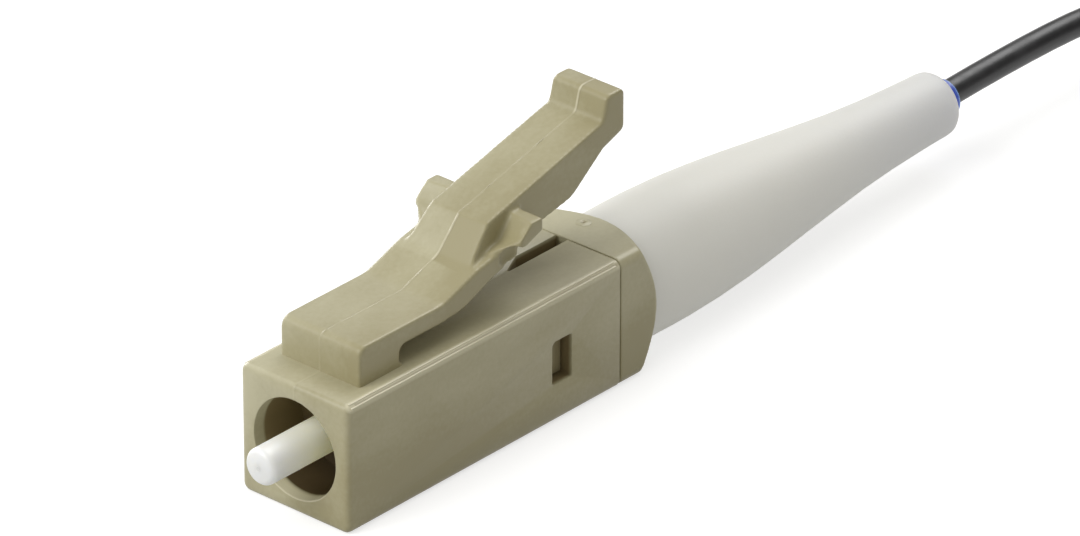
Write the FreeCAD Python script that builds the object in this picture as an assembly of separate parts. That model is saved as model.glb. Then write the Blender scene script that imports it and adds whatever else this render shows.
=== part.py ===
"""LC simplex fibre connector on a 0.9 mm pigtail, one STEP file per piece.

Frame: +X runs along the optical axis from the ferrule towards the boot and the cord, and +Z goes
up through the latch. The origin is on the optical axis, in the plane of the plug's front face.
"""
import FreeCAD, Part
import math
import os
from FreeCAD import Vector

# ---------------------------------------------------------------- driving dimensions, mm
# plug housing
BODY_LENGTH = 12.7
BODY_WIDTH = 4.5
BODY_HEIGHT = 4.5
BODY_EDGE_R = 0.28
BODY_FRONT_EASE = 0.1
MOUTH_R = 1.7
MOUTH_DEPTH = 0.5
FRONT_BORE_R = 1.5
FRONT_BORE_DEPTH = 2.2
WEB_THICKNESS = 0.85
HOUSING_WALL = 0.6
WINDOW_INSET = 0.25
WINDOW_LENGTH = 0.9
WINDOW_HEIGHT = 1.5
SLOT_WIDTH = 0.36
SLOT_FRONT_X = 7.2

# latch: the root block belongs to the housing, the arm flexes just behind it
BLOCK_FRONT_X = 1.2
BLOCK_LENGTH = 1.86
BLOCK_HEIGHT = 1.33
BLOCK_EDGE_R = 0.3
ARM_WIDTH = 3.3
ARM_THICKNESS = 0.64
ARM_LEVEL_LENGTH = 1.2
ARM_LEVEL_R = 1.2
STUB_LENGTH = 0.75
NOTCH_R = 0.25
STEP_FOOT_X = 6.6
STEP_HEAD_X = 7.6
SHOULDER_RISE = 0.56
STEP_RISE = 1.08
STEP_FOOT_R = 0.8
STEP_HEAD_R = 0.12
STEP_FOOT_WIDTH = 2.75
FLARE_LENGTH = 1.35
FLARE_R = 2.5
LEVER_WIDTH = 2.36
LEVER_END_WIDTH = 2.3
LEVER_SLOPE = 0.258
LEVER_REAR_X = 14.1
LEVER_HEEL_DROP = 0.62
LEVER_HEEL_R = 0.2
LEVER_EDGE_EASE = 0.07
TAB_LENGTH = 1.05
TAB_RISE = 0.84
TAB_LEAN = 0.22
TAB_FOOT_R = 0.18
TAB_FRONT_R = 0.22
TAB_REAR_R = 0.16
KEEL_HEIGHT = 0.75
LUG_SPAN = 4.42
LUG_REAR_X = 9.05
LUG_EDGE_EASE = 0.07

# underside of the arm: (behind the hinge, above the arm's underside, corner radius)
ARM_UNDERSIDE = [(1.2, 0.0, 2.0), (2.2, 0.1, 1.5), (3.59, 0.66, 0.8), (4.715, 0.98, 0)]
# underside of the lever: (behind the tab's front, below the lever's end, corner radius)
LEVER_UNDERSIDE = [(0.0, 0.98, 0.6), (-1.45, 2.06, 0.8)]
# the lug's section at the lever's side and at its outer face: (behind the lug's rear, above its top)
LUG_ROOT = [(-1.9, -1.68), (-1.9, -1.0), (-1.05, -0.82), (-0.42, 0.0), (0.0, 0.0), (0.0, -0.95)]
LUG_TIP = [(-1.05, -0.8), (-1.05, -0.62), (-1.02, -0.42), (-0.56, 0.0), (0.0, 0.0), (0.0, -0.42)]

# ferrule, its holder and the spring behind it
FERRULE_R = 0.6245
FERRULE_PROTRUSION = 1.65
FERRULE_LENGTH = 6.4
FERRULE_TIP_R = 0.42
FERRULE_TIP_LENGTH = 0.2
FERRULE_BEVEL = 0.05
FERRULE_SEAT_TAPER = 0.02
FIBRE_R = 0.0625
FIBRE_PLAY = 0.0125
FIBRE_TAIL = 1.1
COLLAR_FLATS = 2.5
COLLAR_LENGTH = 1.7
COLLAR_CHAMFER = 0.25
TAIL_R = 0.75
FLOAT_TRAVEL = 0.8
SPRING_BORE_R = 1.45
SPRING_WIRE_R = 0.15
SPRING_MEAN_R = 1.06
SPRING_TURNS = 5
SPRING_STEPS_PER_TURN = 16
SPRING_WIRE_SIDES = 8

# rear body, snapped in from behind
NOSE_LENGTH = 3.5
FLANGE_LENGTH = 1.75
FLANGE_CORNER_R = 0.3
FLANGE_END_R = 2.2
FLANGE_CONE_SLOPE = 1.2
GATE_R = 0.16
GATE_HEIGHT = 0.07
GATE_BACK = 1.15
GATE_OFFSET = 0.35
SNAP_HEIGHT = 0.16
SNAP_RAMP = 0.35
POST_R = 1.3
POST_LENGTH = 3.2
POST_BARB_RISE = 0.12
POST_BARB_LENGTH = 0.7
POST_BARBS = 3

# boot, inner guide tube and cord
BOOT_LENGTH = 16.95
BOOT_BASE_R = 2.05
BOOT_WAIST_R = 2.24
BOOT_WAIST_BACK = 2.45
BOOT_KNEE_R = 1.8
BOOT_KNEE_BACK = 8.55
BOOT_END_R = 1.2
BOOT_RIM_R = 0.12
BOOT_STEPS = [2, 4, 4, 2]
BOOT_MOUTH_CHAMFER = 0.14
TUBE_WALL = 0.1
TUBE_PROUD = 0.06
TUBE_PLAY = 0.1
CORD_D = 0.9
CORD_LENGTH = 1000.0
ARC_SHARE = 0.45
CORE_INSET = 1.4
HANK_COLUMNS = 3
HANK_RUN = 15.0
HANK_MEAN_R = 3.6
HANK_FRONT = (52.0, -4.65)
TIE_WIDTH = 3.0
TIE_THICKNESS = 0.1
TIE_LAP = 4.0

# clearances
RUNNING = 0.05
SNUG = 0.025
SNAP_PLAY = 0.06
KNUCKLE_PLAY = 0.02

# how far hidden stock runs into its neighbour, and how far cutting tools run past the stock
SUNK = 0.4
PAST = 1.0
TOUCH = 0.002

# ---------------------------------------------------------------- places worked out from them
BODY_TOP = BODY_HEIGHT / 2
FLOOR_Z = -BODY_HEIGHT / 2
SEAT_X = FRONT_BORE_DEPTH + WEB_THICKNESS
CORD_R = CORD_D / 2
TUBE_BORE_R = CORD_R + TUBE_PLAY
TUBE_R = TUBE_BORE_R + TUBE_WALL
COLLAR_REAR_X = SEAT_X + COLLAR_LENGTH
POCKET_REAR_X = COLLAR_REAR_X + FLOAT_TRAVEL + RUNNING
NOSE_FRONT_X = BODY_LENGTH - NOSE_LENGTH
TAIL_REAR_X = NOSE_FRONT_X - FLOAT_TRAVEL - RUNNING
WINDOW_FRONT_X = NOSE_FRONT_X + WINDOW_INSET
WINDOW_REAR_X = WINDOW_FRONT_X + WINDOW_LENGTH
CAVITY_SIDE = BODY_WIDTH - 2 * HOUSING_WALL
CAVITY_CORNER_R = 0.4
FERRULE_REAR_X = FERRULE_LENGTH - FERRULE_PROTRUSION
FLANGE_REAR_X = BODY_LENGTH + FLANGE_LENGTH
POST_REAR_X = FLANGE_REAR_X + POST_LENGTH
BOOT_END_X = FLANGE_REAR_X + BOOT_LENGTH
ARM_TOP = BODY_TOP + BLOCK_HEIGHT
ARM_BOTTOM = ARM_TOP - ARM_THICKNESS
BLOCK_REAR_X = BLOCK_FRONT_X + BLOCK_LENGTH
HINGE_X = BLOCK_REAR_X + STUB_LENGTH
HINGE_Z = ARM_TOP - ARM_THICKNESS / 2
SHOULDER_Z = ARM_TOP + SHOULDER_RISE
STEP_TOP_Z = SHOULDER_Z + STEP_RISE
TAB_FRONT_X = LEVER_REAR_X - TAB_LENGTH
LEVER_END_Z = STEP_TOP_Z + LEVER_SLOPE * (TAB_FRONT_X - STEP_HEAD_X)
TAB_TOP_Z = LEVER_END_Z + TAB_RISE
LUG_TOP_Z = STEP_TOP_Z + 0.02
KEEL_Z = ARM_BOTTOM + KEEL_HEIGHT
FIBRE_REAR_X = COLLAR_REAR_X + FIBRE_TAIL
CORE_FRONT_X = FIBRE_REAR_X + FLOAT_TRAVEL + RUNNING
CORE_REAR_X = BOOT_END_X - CORE_INSET
CORD_LIES_Z = FLOOR_Z + CORD_R
HANK_TURN = 2 * HANK_RUN + 2 * math.pi * HANK_MEAN_R
HANK_TURNS = CORD_LENGTH / HANK_TURN
HANK_OUTER_R = HANK_MEAN_R + HANK_COLUMNS * CORD_D / 2
HANK_INNER_R = HANK_MEAN_R - HANK_COLUMNS * CORD_D / 2
HANK_LOW_Z = FLOOR_Z + TIE_THICKNESS
HANK_TOP_Z = HANK_LOW_Z + CORD_D * math.ceil(HANK_TURNS / HANK_COLUMNS)
ROUTE = [
    (CORE_REAR_X, 0.0, 0.0),
    (33.9, 0.0, 0.2),
    (40.0, 0.05, 0.05),
    (45.0, 0.25, -1.3),
    (48.5, 0.0, CORD_LIES_Z),
    (HANK_FRONT[0], -0.15, HANK_LOW_Z + CORD_R),
]


# ---------------------------------------------------------------- helpers
def side_view(y):
    """Puts an outline drawn in X and Z at one Y."""
    return lambda u, v: Vector(u, y, v)


def plan_view(z):
    """Puts an outline drawn in X and Y at one Z."""
    return lambda u, v: Vector(u, v, z)


def end_view(x):
    """Puts an outline drawn in Y and Z at one X."""
    return lambda u, v: Vector(x, u, v)


def rounded_face(corners, place):
    """A face whose outline runs through corners (u, v, radius), each turned by a tangent arc."""
    count = len(corners)
    spots = [place(u, v) for u, v, _ in corners]
    stretches = []
    for i, (_, _, radius) in enumerate(corners):
        here = spots[i]
        back = (spots[i - 1] - here).normalize()
        ahead = (spots[(i + 1) % count] - here).normalize()
        if radius <= 0:
            stretches.append((here, None, here))
            continue
        half = back.getAngle(ahead) / 2
        reach = radius / math.tan(half)
        bisector = (back + ahead).normalize()
        middle = here + bisector * (radius / math.sin(half) - radius)
        stretches.append((here + back * reach, middle, here + ahead * reach))
    edges = []
    for i, (start, middle, end) in enumerate(stretches):
        if middle is not None:
            edges.append(Part.Arc(start, middle, end).toShape())
        following = stretches[(i + 1) % count][0]
        if not (following - end).Length < TOUCH:
            edges.append(Part.LineSegment(end, following).toShape())
    return Part.Face(Part.Wire(edges))


def side_prism(corners, width):
    """A side-view outline extruded across a width centred on the mid-plane."""
    return rounded_face(corners, side_view(-width / 2)).extrude(Vector(0, width, 0))


def plan_prism(corners, low, high):
    """A plan-view outline extruded from one height to another."""
    return rounded_face(corners, plan_view(low)).extrude(Vector(0, 0, high - low))


def square_bar(side, corner_r, front, rear, height=None):
    """A bar along X of square section, or of a stated height, with rounded long edges."""
    y, z = side / 2, (height or side) / 2
    corners = [(-y, -z, corner_r), (y, -z, corner_r), (y, z, corner_r), (-y, z, corner_r)]
    return rounded_face(corners, end_view(front)).extrude(Vector(rear - front, 0, 0))


def hex_bar(flats, front, rear):
    """A hexagonal bar along X, with two flats upright."""
    radius = flats / math.sqrt(3)
    corners = [
        (radius * math.sin(math.radians(60 * i)), radius * math.cos(math.radians(60 * i)), 0)
        for i in range(6)
    ]
    return rounded_face(corners, end_view(front)).extrude(Vector(rear - front, 0, 0))


def rod(radius, front, rear):
    """A round bar along the optical axis."""
    return Part.makeCylinder(radius, rear - front, Vector(front, 0, 0), Vector(1, 0, 0))


def turned(profile):
    """A solid turned about the optical axis from a closed profile of (x, radius) points."""
    points = [Vector(x, 0, r) for x, r in profile]
    face = Part.Face(Part.makePolygon(points + points[:1]))
    return face.revolve(Vector(0, 0, 0), Vector(1, 0, 0), 360)


def block(x0, x1, y0, y1, z0, z1):
    """A box between two corners."""
    return Part.makeBox(x1 - x0, y1 - y0, z1 - z0, Vector(x0, y0, z0))


def edges_where(shape, test):
    """The edges of a shape whose bounding box passes a test."""
    return [edge for edge in shape.Edges if test(edge.BoundBox)]


def at(value, target):
    """Whether a coordinate is at a place."""
    return abs(value - target) < TOUCH


def flat_at(low, high, target):
    """Whether a stretch of coordinates lies wholly at a place."""
    return at(low, target) and at(high, target)


def cross_pin(radius, width, x, z):
    """A round pin across the mid-plane at one place in side view."""
    return Part.makeCylinder(radius, width, Vector(x, -width / 2, z), Vector(0, 1, 0))


def mirrored_pair(shape):
    """A shape and its mirror image across the mid-plane, fused."""
    return shape.fuse(shape.mirror(Vector(0, 0, 0), Vector(0, 1, 0)))


# ---------------------------------------------------------------- plug housing
def housing_shell():
    """The square body with its long edges rounded and its front rim eased."""
    shell = square_bar(BODY_WIDTH, BODY_EDGE_R, 0, BODY_LENGTH, BODY_HEIGHT)
    rims = edges_where(shell, lambda b: flat_at(b.XMin, b.XMax, 0))
    return shell.makeChamfer(BODY_FRONT_EASE, rims)


def latch_root():
    """The block that carries the latch, with the short fixed stub of the arm behind it."""
    outline = [
        (BLOCK_FRONT_X, BODY_TOP - SUNK, 0),
        (BLOCK_FRONT_X, ARM_TOP, BLOCK_EDGE_R),
        (HINGE_X, ARM_TOP, 0),
        (HINGE_X, ARM_BOTTOM, 0),
        (BLOCK_REAR_X, ARM_BOTTOM, NOTCH_R),
        (BLOCK_REAR_X, BODY_TOP - SUNK, 0),
    ]
    knuckle_room = cross_pin(ARM_THICKNESS / 2 + KNUCKLE_PLAY, ARM_WIDTH, HINGE_X, HINGE_Z)
    return side_prism(outline, ARM_WIDTH).cut(knuckle_room)


def housing_hollows():
    """Everything that is open inside the housing, from the mouth to the rear cavity."""
    half_window, half_slot = WINDOW_HEIGHT / 2, SLOT_WIDTH / 2
    hollows = [
        rod(MOUTH_R, -PAST, MOUTH_DEPTH),
        rod(FRONT_BORE_R, 0, FRONT_BORE_DEPTH),
        rod(FERRULE_R + RUNNING, 0, SEAT_X + SUNK),
        hex_bar(COLLAR_FLATS + 2 * RUNNING, SEAT_X, POCKET_REAR_X),
        rod(SPRING_BORE_R, POCKET_REAR_X, NOSE_FRONT_X),
        square_bar(CAVITY_SIDE, CAVITY_CORNER_R, NOSE_FRONT_X, BODY_LENGTH + PAST),
        block(WINDOW_FRONT_X, WINDOW_REAR_X, -BODY_WIDTH, BODY_WIDTH, -half_window, half_window),
        block(SLOT_FRONT_X, BODY_LENGTH + PAST, -half_slot, half_slot, 0, BODY_HEIGHT),
    ]
    return hollows[0].multiFuse(hollows[1:])


def plug_housing():
    """The moulded front body: shell, latch root, bores, snap windows and the slot under the latch."""
    body = housing_shell().fuse(latch_root()).removeSplitter()
    top_edges = edges_where(body, lambda b: flat_at(b.ZMin, b.ZMax, BODY_TOP))
    root_foot = [edge for edge in top_edges if flat_at(edge.BoundBox.XMin, edge.BoundBox.XMax, BLOCK_REAR_X)]
    body = body.makeFillet(NOTCH_R, root_foot)
    return body.cut(housing_hollows()).removeSplitter()


# ---------------------------------------------------------------- latch
def latch_arm():
    """The wide flat arm from the knuckle to the lugs."""
    underside = [(HINGE_X + x, ARM_BOTTOM + z, radius) for x, z, radius in ARM_UNDERSIDE]
    arm_rear_x = underside[-1][0]
    outline = [
        (HINGE_X, ARM_BOTTOM, 0),
        (HINGE_X, ARM_TOP, 0),
        (HINGE_X + ARM_LEVEL_LENGTH, ARM_TOP, ARM_LEVEL_R),
        (STEP_FOOT_X, SHOULDER_Z, STEP_FOOT_R),
        (arm_rear_x, SHOULDER_Z + SUNK, 0),
    ]
    knuckle = cross_pin(ARM_THICKNESS / 2, ARM_WIDTH, HINGE_X, HINGE_Z)
    return side_prism(outline + underside[::-1], ARM_WIDTH).fuse(knuckle)


def lever_profile():
    """The lever in side view: step, long sloping thumb face, upright tab and curved underside."""
    step_run = (STEP_HEAD_X - STEP_FOOT_X) / STEP_RISE
    upper = [
        (STEP_FOOT_X - step_run * (SHOULDER_Z - KEEL_Z), KEEL_Z, 0),
        (STEP_HEAD_X, STEP_TOP_Z, STEP_HEAD_R),
        (TAB_FRONT_X, LEVER_END_Z, TAB_FOOT_R),
        (TAB_FRONT_X + TAB_LEAN, TAB_TOP_Z, TAB_FRONT_R),
        (LEVER_REAR_X, TAB_TOP_Z, TAB_REAR_R),
        (LEVER_REAR_X, LEVER_END_Z - LEVER_HEEL_DROP, LEVER_HEEL_R),
    ]
    lower = [(TAB_FRONT_X + x, LEVER_END_Z - z, radius) for x, z, radius in LEVER_UNDERSIDE]
    return upper + lower + [(LUG_REAR_X, KEEL_Z + SUNK, 0), (STEP_HEAD_X, KEEL_Z, 0)]


def lever_half_plan():
    """One half of the lever in plan: flared at the foot of its step, then almost parallel."""
    flare_rear_x = STEP_FOOT_X + FLARE_LENGTH
    flare_slope = (STEP_FOOT_WIDTH - LEVER_WIDTH) / 2 / FLARE_LENGTH
    front_x, rear_x = STEP_FOOT_X - PAST, LEVER_REAR_X + PAST
    return [
        (front_x, -STEP_FOOT_WIDTH / 2 - flare_slope * PAST, 0),
        (flare_rear_x, -LEVER_WIDTH / 2, FLARE_R),
        (rear_x, -LEVER_END_WIDTH / 2, 0),
        (rear_x, 0, 0),
        (front_x, 0, 0),
    ]


def thumb_lever():
    """The raised lever, made as one half with eased edges and mirrored."""
    half_plan = plan_prism(lever_half_plan(), FLOOR_Z, TAB_TOP_Z + PAST)
    half = side_prism(lever_profile(), ARM_WIDTH).common(half_plan).removeSplitter()
    inner_y = -LEVER_END_WIDTH / 4
    outer_edges = edges_where(half, lambda b: b.YMax < inner_y and b.YLength < -inner_y)
    rims = [edge for edge in outer_edges if edge.BoundBox.ZMin > KEEL_Z + SUNK / 2]
    return mirrored_pair(half.makeChamfer(LEVER_EDGE_EASE, rims))


def lug():
    """One locking shoulder: it flares out of the lever's side to a small face with an upright rear."""
    wires = []
    for section, y in ((LUG_ROOT, -LEVER_END_WIDTH / 2), (LUG_TIP, -LUG_SPAN / 2)):
        corners = [(LUG_REAR_X + x, LUG_TOP_Z + z, 0) for x, z in section]
        wires.append(rounded_face(corners, side_view(y)).OuterWire)
    shape = Part.makeLoft(wires, True, True)
    tip_rims = edges_where(shape, lambda b: flat_at(b.YMin, b.YMax, -LUG_SPAN / 2))
    return shape.makeChamfer(LUG_EDGE_EASE, tip_rims)


def latch_lever():
    """The moving part of the latch, moulded in one with the housing and bending at its root."""
    shoulder = lug()
    other = shoulder.mirror(Vector(0, 0, 0), Vector(0, 1, 0))
    return latch_arm().multiFuse([shoulder, other, thumb_lever()]).removeSplitter()


# ---------------------------------------------------------------- ferrule, holder, spring
def seat_radius(x):
    """The ferrule's radius at one X of its rear stretch, which tapers a hair for pressing in."""
    share = (x - FRONT_BORE_DEPTH) / (FERRULE_REAR_X - FRONT_BORE_DEPTH)
    return FERRULE_R - FERRULE_SEAT_TAPER * share


def ferrule():
    """The ceramic ferrule with its chamfered, polished tip and the fibre hole through it."""
    front = -FERRULE_PROTRUSION
    bore = FIBRE_R + FIBRE_PLAY
    return turned(
        [
            (front, bore),
            (front, FERRULE_TIP_R),
            (front + FERRULE_TIP_LENGTH / 2, FERRULE_R - FERRULE_BEVEL),
            (front + FERRULE_TIP_LENGTH, FERRULE_R),
            (FRONT_BORE_DEPTH, FERRULE_R),
            (FERRULE_REAR_X, seat_radius(FERRULE_REAR_X)),
            (FERRULE_REAR_X, bore),
        ]
    )


def ferrule_holder():
    """The hexagonal collar and tail that the ferrule is pressed into."""
    inner_r, corner_r = COLLAR_FLATS / 2, COLLAR_FLATS / math.sqrt(3)
    lead = turned(
        [
            (SEAT_X, 0),
            (SEAT_X, inner_r - COLLAR_CHAMFER),
            (SEAT_X + COLLAR_CHAMFER + corner_r - inner_r, corner_r),
            (COLLAR_REAR_X, corner_r),
            (COLLAR_REAR_X, 0),
        ]
    )
    seat = turned(
        [
            (SEAT_X, 0),
            (SEAT_X, seat_radius(SEAT_X)),
            (FERRULE_REAR_X, seat_radius(FERRULE_REAR_X)),
            (FERRULE_REAR_X, 0),
        ]
    )
    collar = hex_bar(COLLAR_FLATS, SEAT_X, COLLAR_REAR_X).common(lead)
    body = collar.fuse(rod(TAIL_R, COLLAR_REAR_X, TAIL_REAR_X))
    cord_bore = rod(CORD_R + RUNNING, FERRULE_REAR_X, TAIL_REAR_X + PAST)
    return body.cut(seat).cut(cord_bore).removeSplitter()


def glass_fibre():
    """The bare glass fibre glued in the ferrule, flush with its tip."""
    return rod(FIBRE_R, -FERRULE_PROTRUSION, FIBRE_REAR_X)


def polygon_round(centre, direction, radius, sides):
    """A closed regular polygon round a centre, square to a direction."""
    across = direction.cross(Vector(1, 0, 0)).normalize()
    up = direction.cross(across)
    corners = []
    for i in range(sides):
        turn = 2 * math.pi * i / sides
        corners.append(centre + across * (radius * math.cos(turn)) + up * (radius * math.sin(turn)))
    return Part.makePolygon(corners + corners[:1])


def compression_spring():
    """The spring between the collar and the nose of the rear body, its helix in short mitred steps."""
    front = COLLAR_REAR_X + SPRING_WIRE_R + SNUG
    rear = NOSE_FRONT_X - SPRING_WIRE_R - SNUG
    steps = SPRING_TURNS * SPRING_STEPS_PER_TURN
    points = []
    for i in range(steps + 1):
        turn = 2 * math.pi * i / SPRING_STEPS_PER_TURN
        x = front + (rear - front) * i / steps
        points.append(Vector(x, SPRING_MEAN_R * math.sin(turn), SPRING_MEAN_R * math.cos(turn)))
    direction = (points[1] - points[0]).normalize()
    section = polygon_round(points[0], direction, SPRING_WIRE_R, SPRING_WIRE_SIDES)
    mitred = 1
    return Part.makePolygon(points).makePipeShell([section], True, False, mitred)


# ---------------------------------------------------------------- rear body
def snap_tongues():
    """The two wedges that spring into the housing's side windows."""
    inner = CAVITY_SIDE / 2 - SUNK
    outer = CAVITY_SIDE / 2 + SNAP_HEIGHT
    front, rear = WINDOW_FRONT_X + SNAP_PLAY, WINDOW_REAR_X - SNAP_PLAY
    half_height = WINDOW_HEIGHT / 2 - SNAP_PLAY
    wedge = plan_prism(
        [
            (front, inner, 0),
            (front, CAVITY_SIDE / 2 - SNUG, 0),
            (front + SNAP_RAMP, outer, 0),
            (rear, outer, 0),
            (rear, inner, 0),
        ],
        -half_height,
        half_height,
    )
    return mirrored_pair(wedge)


def flange():
    """The square end plate of the connector, coned down towards the round boot."""
    plate = square_bar(BODY_WIDTH, FLANGE_CORNER_R, BODY_LENGTH, FLANGE_REAR_X, BODY_HEIGHT)
    past_r = BODY_WIDTH
    cone_front_x = FLANGE_REAR_X - (past_r - FLANGE_END_R) / FLANGE_CONE_SLOPE
    envelope = turned(
        [
            (cone_front_x - PAST, 0),
            (cone_front_x - PAST, past_r),
            (cone_front_x, past_r),
            (FLANGE_REAR_X, FLANGE_END_R),
            (FLANGE_REAR_X, 0),
        ]
    )
    gate_foot = Vector(BODY_LENGTH + GATE_BACK, GATE_OFFSET, BODY_TOP - SUNK)
    gate = Part.makeCylinder(GATE_R, SUNK + GATE_HEIGHT, gate_foot)
    return plate.common(envelope).fuse(gate)


def boot_post():
    """The barbed post that the boot is pushed onto."""
    post = rod(POST_R, FLANGE_REAR_X - SUNK, POST_REAR_X)
    pitch = POST_LENGTH / POST_BARBS
    barbs = []
    for i in range(POST_BARBS):
        base = FLANGE_REAR_X + pitch * i + (pitch - POST_BARB_LENGTH) / 2
        foot_r, tip_x = POST_R - SNUG, base + POST_BARB_LENGTH
        barbs.append(turned([(base, foot_r), (base, POST_R + POST_BARB_RISE), (tip_x, foot_r)]))
    return post.multiFuse(barbs)


def rear_body():
    """The rear piece: nose with snap tongues, end flange and boot post, hollow all through."""
    nose = square_bar(CAVITY_SIDE - 2 * RUNNING, CAVITY_CORNER_R, NOSE_FRONT_X, BODY_LENGTH + SUNK)
    solid = nose.multiFuse([snap_tongues(), flange(), boot_post()])
    tail_room_rear_x = TAIL_REAR_X + FLOAT_TRAVEL + NOSE_LENGTH / 2
    tail_room = rod(TAIL_R + 3 * RUNNING, NOSE_FRONT_X - PAST, tail_room_rear_x)
    tube_bore = rod(TUBE_R + SNUG, NOSE_FRONT_X, POST_REAR_X + PAST)
    return solid.cut(tail_room).cut(tube_bore).removeSplitter()


# ---------------------------------------------------------------- boot and guide tube
def tangent_arc(start, direction, end):
    """The arc in side view from start to end that leaves start along direction."""
    chord = end - start
    normal = Vector(0, 1, 0).cross(direction)
    centre = start + normal * (chord.dot(chord) / (2 * normal.dot(chord)))
    middle = centre + ((start + end) * 0.5 - centre).normalize() * (end - centre).Length
    return Part.Arc(start, middle, end)


def boot_skin():
    """The boot's outline in short steps: swell from the base to the waist, shoulder, neck, rim."""
    base = Vector(FLANGE_REAR_X, 0, BOOT_BASE_R)
    waist = Vector(FLANGE_REAR_X + BOOT_WAIST_BACK, 0, BOOT_WAIST_R)
    knee = Vector(FLANGE_REAR_X + BOOT_KNEE_BACK, 0, BOOT_KNEE_R)
    rim_start = Vector(BOOT_END_X - BOOT_RIM_R, 0, BOOT_END_R)
    rim_end = Vector(BOOT_END_X, 0, BOOT_END_R - BOOT_RIM_R)
    swell = tangent_arc(waist, Vector(-1, 0, 0), base)
    shoulder = tangent_arc(waist, Vector(1, 0, 0), knee)
    neck = tangent_arc(knee, shoulder.toShape().tangentAt(shoulder.LastParameter), rim_start)
    rim = tangent_arc(rim_start, Vector(1, 0, 0), rim_end)
    points = swell.discretize(BOOT_STEPS[0] + 1)[::-1]
    for arc, steps in zip((shoulder, neck, rim), BOOT_STEPS[1:]):
        points += arc.discretize(steps + 1)[1:]
    return [(point.x, point.z) for point in points]


def boot():
    """The smooth waisted strain relief, moulded in soft plastic."""
    bore_r = TUBE_R + SNUG
    socket_r = POST_R + POST_BARB_RISE + SNUG
    socket_rear_x = POST_REAR_X + SNUG
    hollow = [
        (BOOT_END_X, bore_r + BOOT_MOUTH_CHAMFER),
        (BOOT_END_X - BOOT_MOUTH_CHAMFER, bore_r),
        (socket_rear_x, bore_r),
        (socket_rear_x, socket_r),
        (FLANGE_REAR_X, socket_r),
    ]
    return turned(boot_skin() + hollow)


def guide_tube():
    """The thin coloured tube that lines the boot and stands a hair proud of its mouth."""
    rear = BOOT_END_X + TUBE_PROUD
    bore = rod(TUBE_BORE_R, NOSE_FRONT_X - PAST, rear + PAST)
    return rod(TUBE_R, NOSE_FRONT_X, rear).cut(bore)


# ---------------------------------------------------------------- cord
def cord_path():
    """Straight runs joined by tangent arcs as large as their runs allow; prints the radii."""
    points = [Vector(*p) for p in ROUTE]
    edges = []
    start = points[0]
    for before, here, after in zip(points, points[1:], points[2:]):
        back, ahead = before - here, after - here
        turn = math.pi - back.getAngle(ahead)
        reach = ARC_SHARE * min(back.Length, ahead.Length)
        radius = reach / math.tan(turn / 2)
        print("cord arc radius", round(radius, 2))
        entry = here + back.normalize() * reach
        leave = here + ahead.normalize() * reach
        inward = (back + ahead).normalize()
        middle = here + inward * (radius / math.cos(turn / 2) - radius)
        edges.append(Part.LineSegment(start, entry).toShape())
        edges.append(Part.Arc(entry, middle, leave).toShape())
        start = leave
    edges.append(Part.LineSegment(start, points[-1]).toShape())
    return Part.Wire(edges)


def cord_core():
    """The buffered fibre inside the connector and most of the boot, straight along the axis."""
    return rod(CORD_R, CORE_FRONT_X, CORE_REAR_X)


def cord_tube():
    """The stretch of cord from just inside the boot's mouth to the hank."""
    path = cord_path()
    start = Vector(*ROUTE[0])
    direction = (Vector(*ROUTE[1]) - start).normalize()
    section = Part.Wire(Part.makeCircle(CORD_R, start, direction))
    tube = path.makePipeShell([section], True, False)
    section_times_length = math.pi * CORD_R**2 * path.Length
    print("cord tube volume", round(tube.Volume, 4), "section times length", round(section_times_length, 4))
    print("cord tube length", round(path.Length, 2))
    return tube


def oblong(radius):
    """An upright oblong as high as the hank, with round ends about its two turn centres."""
    front_x, middle_y = HANK_FRONT
    front, rear = front_x - radius, front_x + HANK_RUN + radius
    right, left = middle_y - radius, middle_y + radius
    corners = [(front, right, radius), (rear, right, radius), (rear, left, radius), (front, left, radius)]
    return plan_prism(corners, HANK_LOW_Z, HANK_TOP_Z)


def cord_hank():
    """The stored length, as the outer shape of its folded turns."""
    print("hank turns", round(HANK_TURNS, 1), "top", round(HANK_TOP_Z, 2))
    return oblong(HANK_OUTER_R).cut(oblong(HANK_INNER_R))


def hank_tie():
    """The strap round the middle of the hank, its end lapped over the start on top."""
    middle_y = HANK_FRONT[1]
    front = HANK_FRONT[0] + (HANK_RUN - TIE_WIDTH) / 2
    rear = front + TIE_WIDTH
    right, left = middle_y - HANK_OUTER_R, middle_y + HANK_OUTER_R
    outer_right, outer_left = right - TIE_THICKNESS, left + TIE_THICKNESS
    outer_top = HANK_TOP_Z + TIE_THICKNESS
    corners = [
        (outer_right, FLOOR_Z, TIE_THICKNESS),
        (outer_left, FLOOR_Z, TIE_THICKNESS),
        (outer_left, outer_top, TIE_THICKNESS),
        (outer_right, outer_top, TIE_THICKNESS),
    ]
    strap = rounded_face(corners, end_view(front)).extrude(Vector(TIE_WIDTH, 0, 0))
    lap_right, lap_left = middle_y - TIE_LAP / 2, middle_y + TIE_LAP / 2
    lap = block(front, rear, lap_right, lap_left, HANK_TOP_Z, outer_top + TIE_THICKNESS)
    bundle = block(front, rear, right, left, HANK_LOW_Z, HANK_TOP_Z)
    return strap.fuse(lap).cut(bundle).removeSplitter()


# ---------------------------------------------------------------- export
PIECES = {
    "plug_housing": plug_housing,
    "latch_lever": latch_lever,
    "ferrule": ferrule,
    "ferrule_holder": ferrule_holder,
    "glass_fibre": glass_fibre,
    "compression_spring": compression_spring,
    "rear_body": rear_body,
    "boot": boot,
    "guide_tube": guide_tube,
    "cord_core": cord_core,
    "cord_tube": cord_tube,
    "cord_hank": cord_hank,
    "hank_tie": hank_tie,
}


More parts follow.
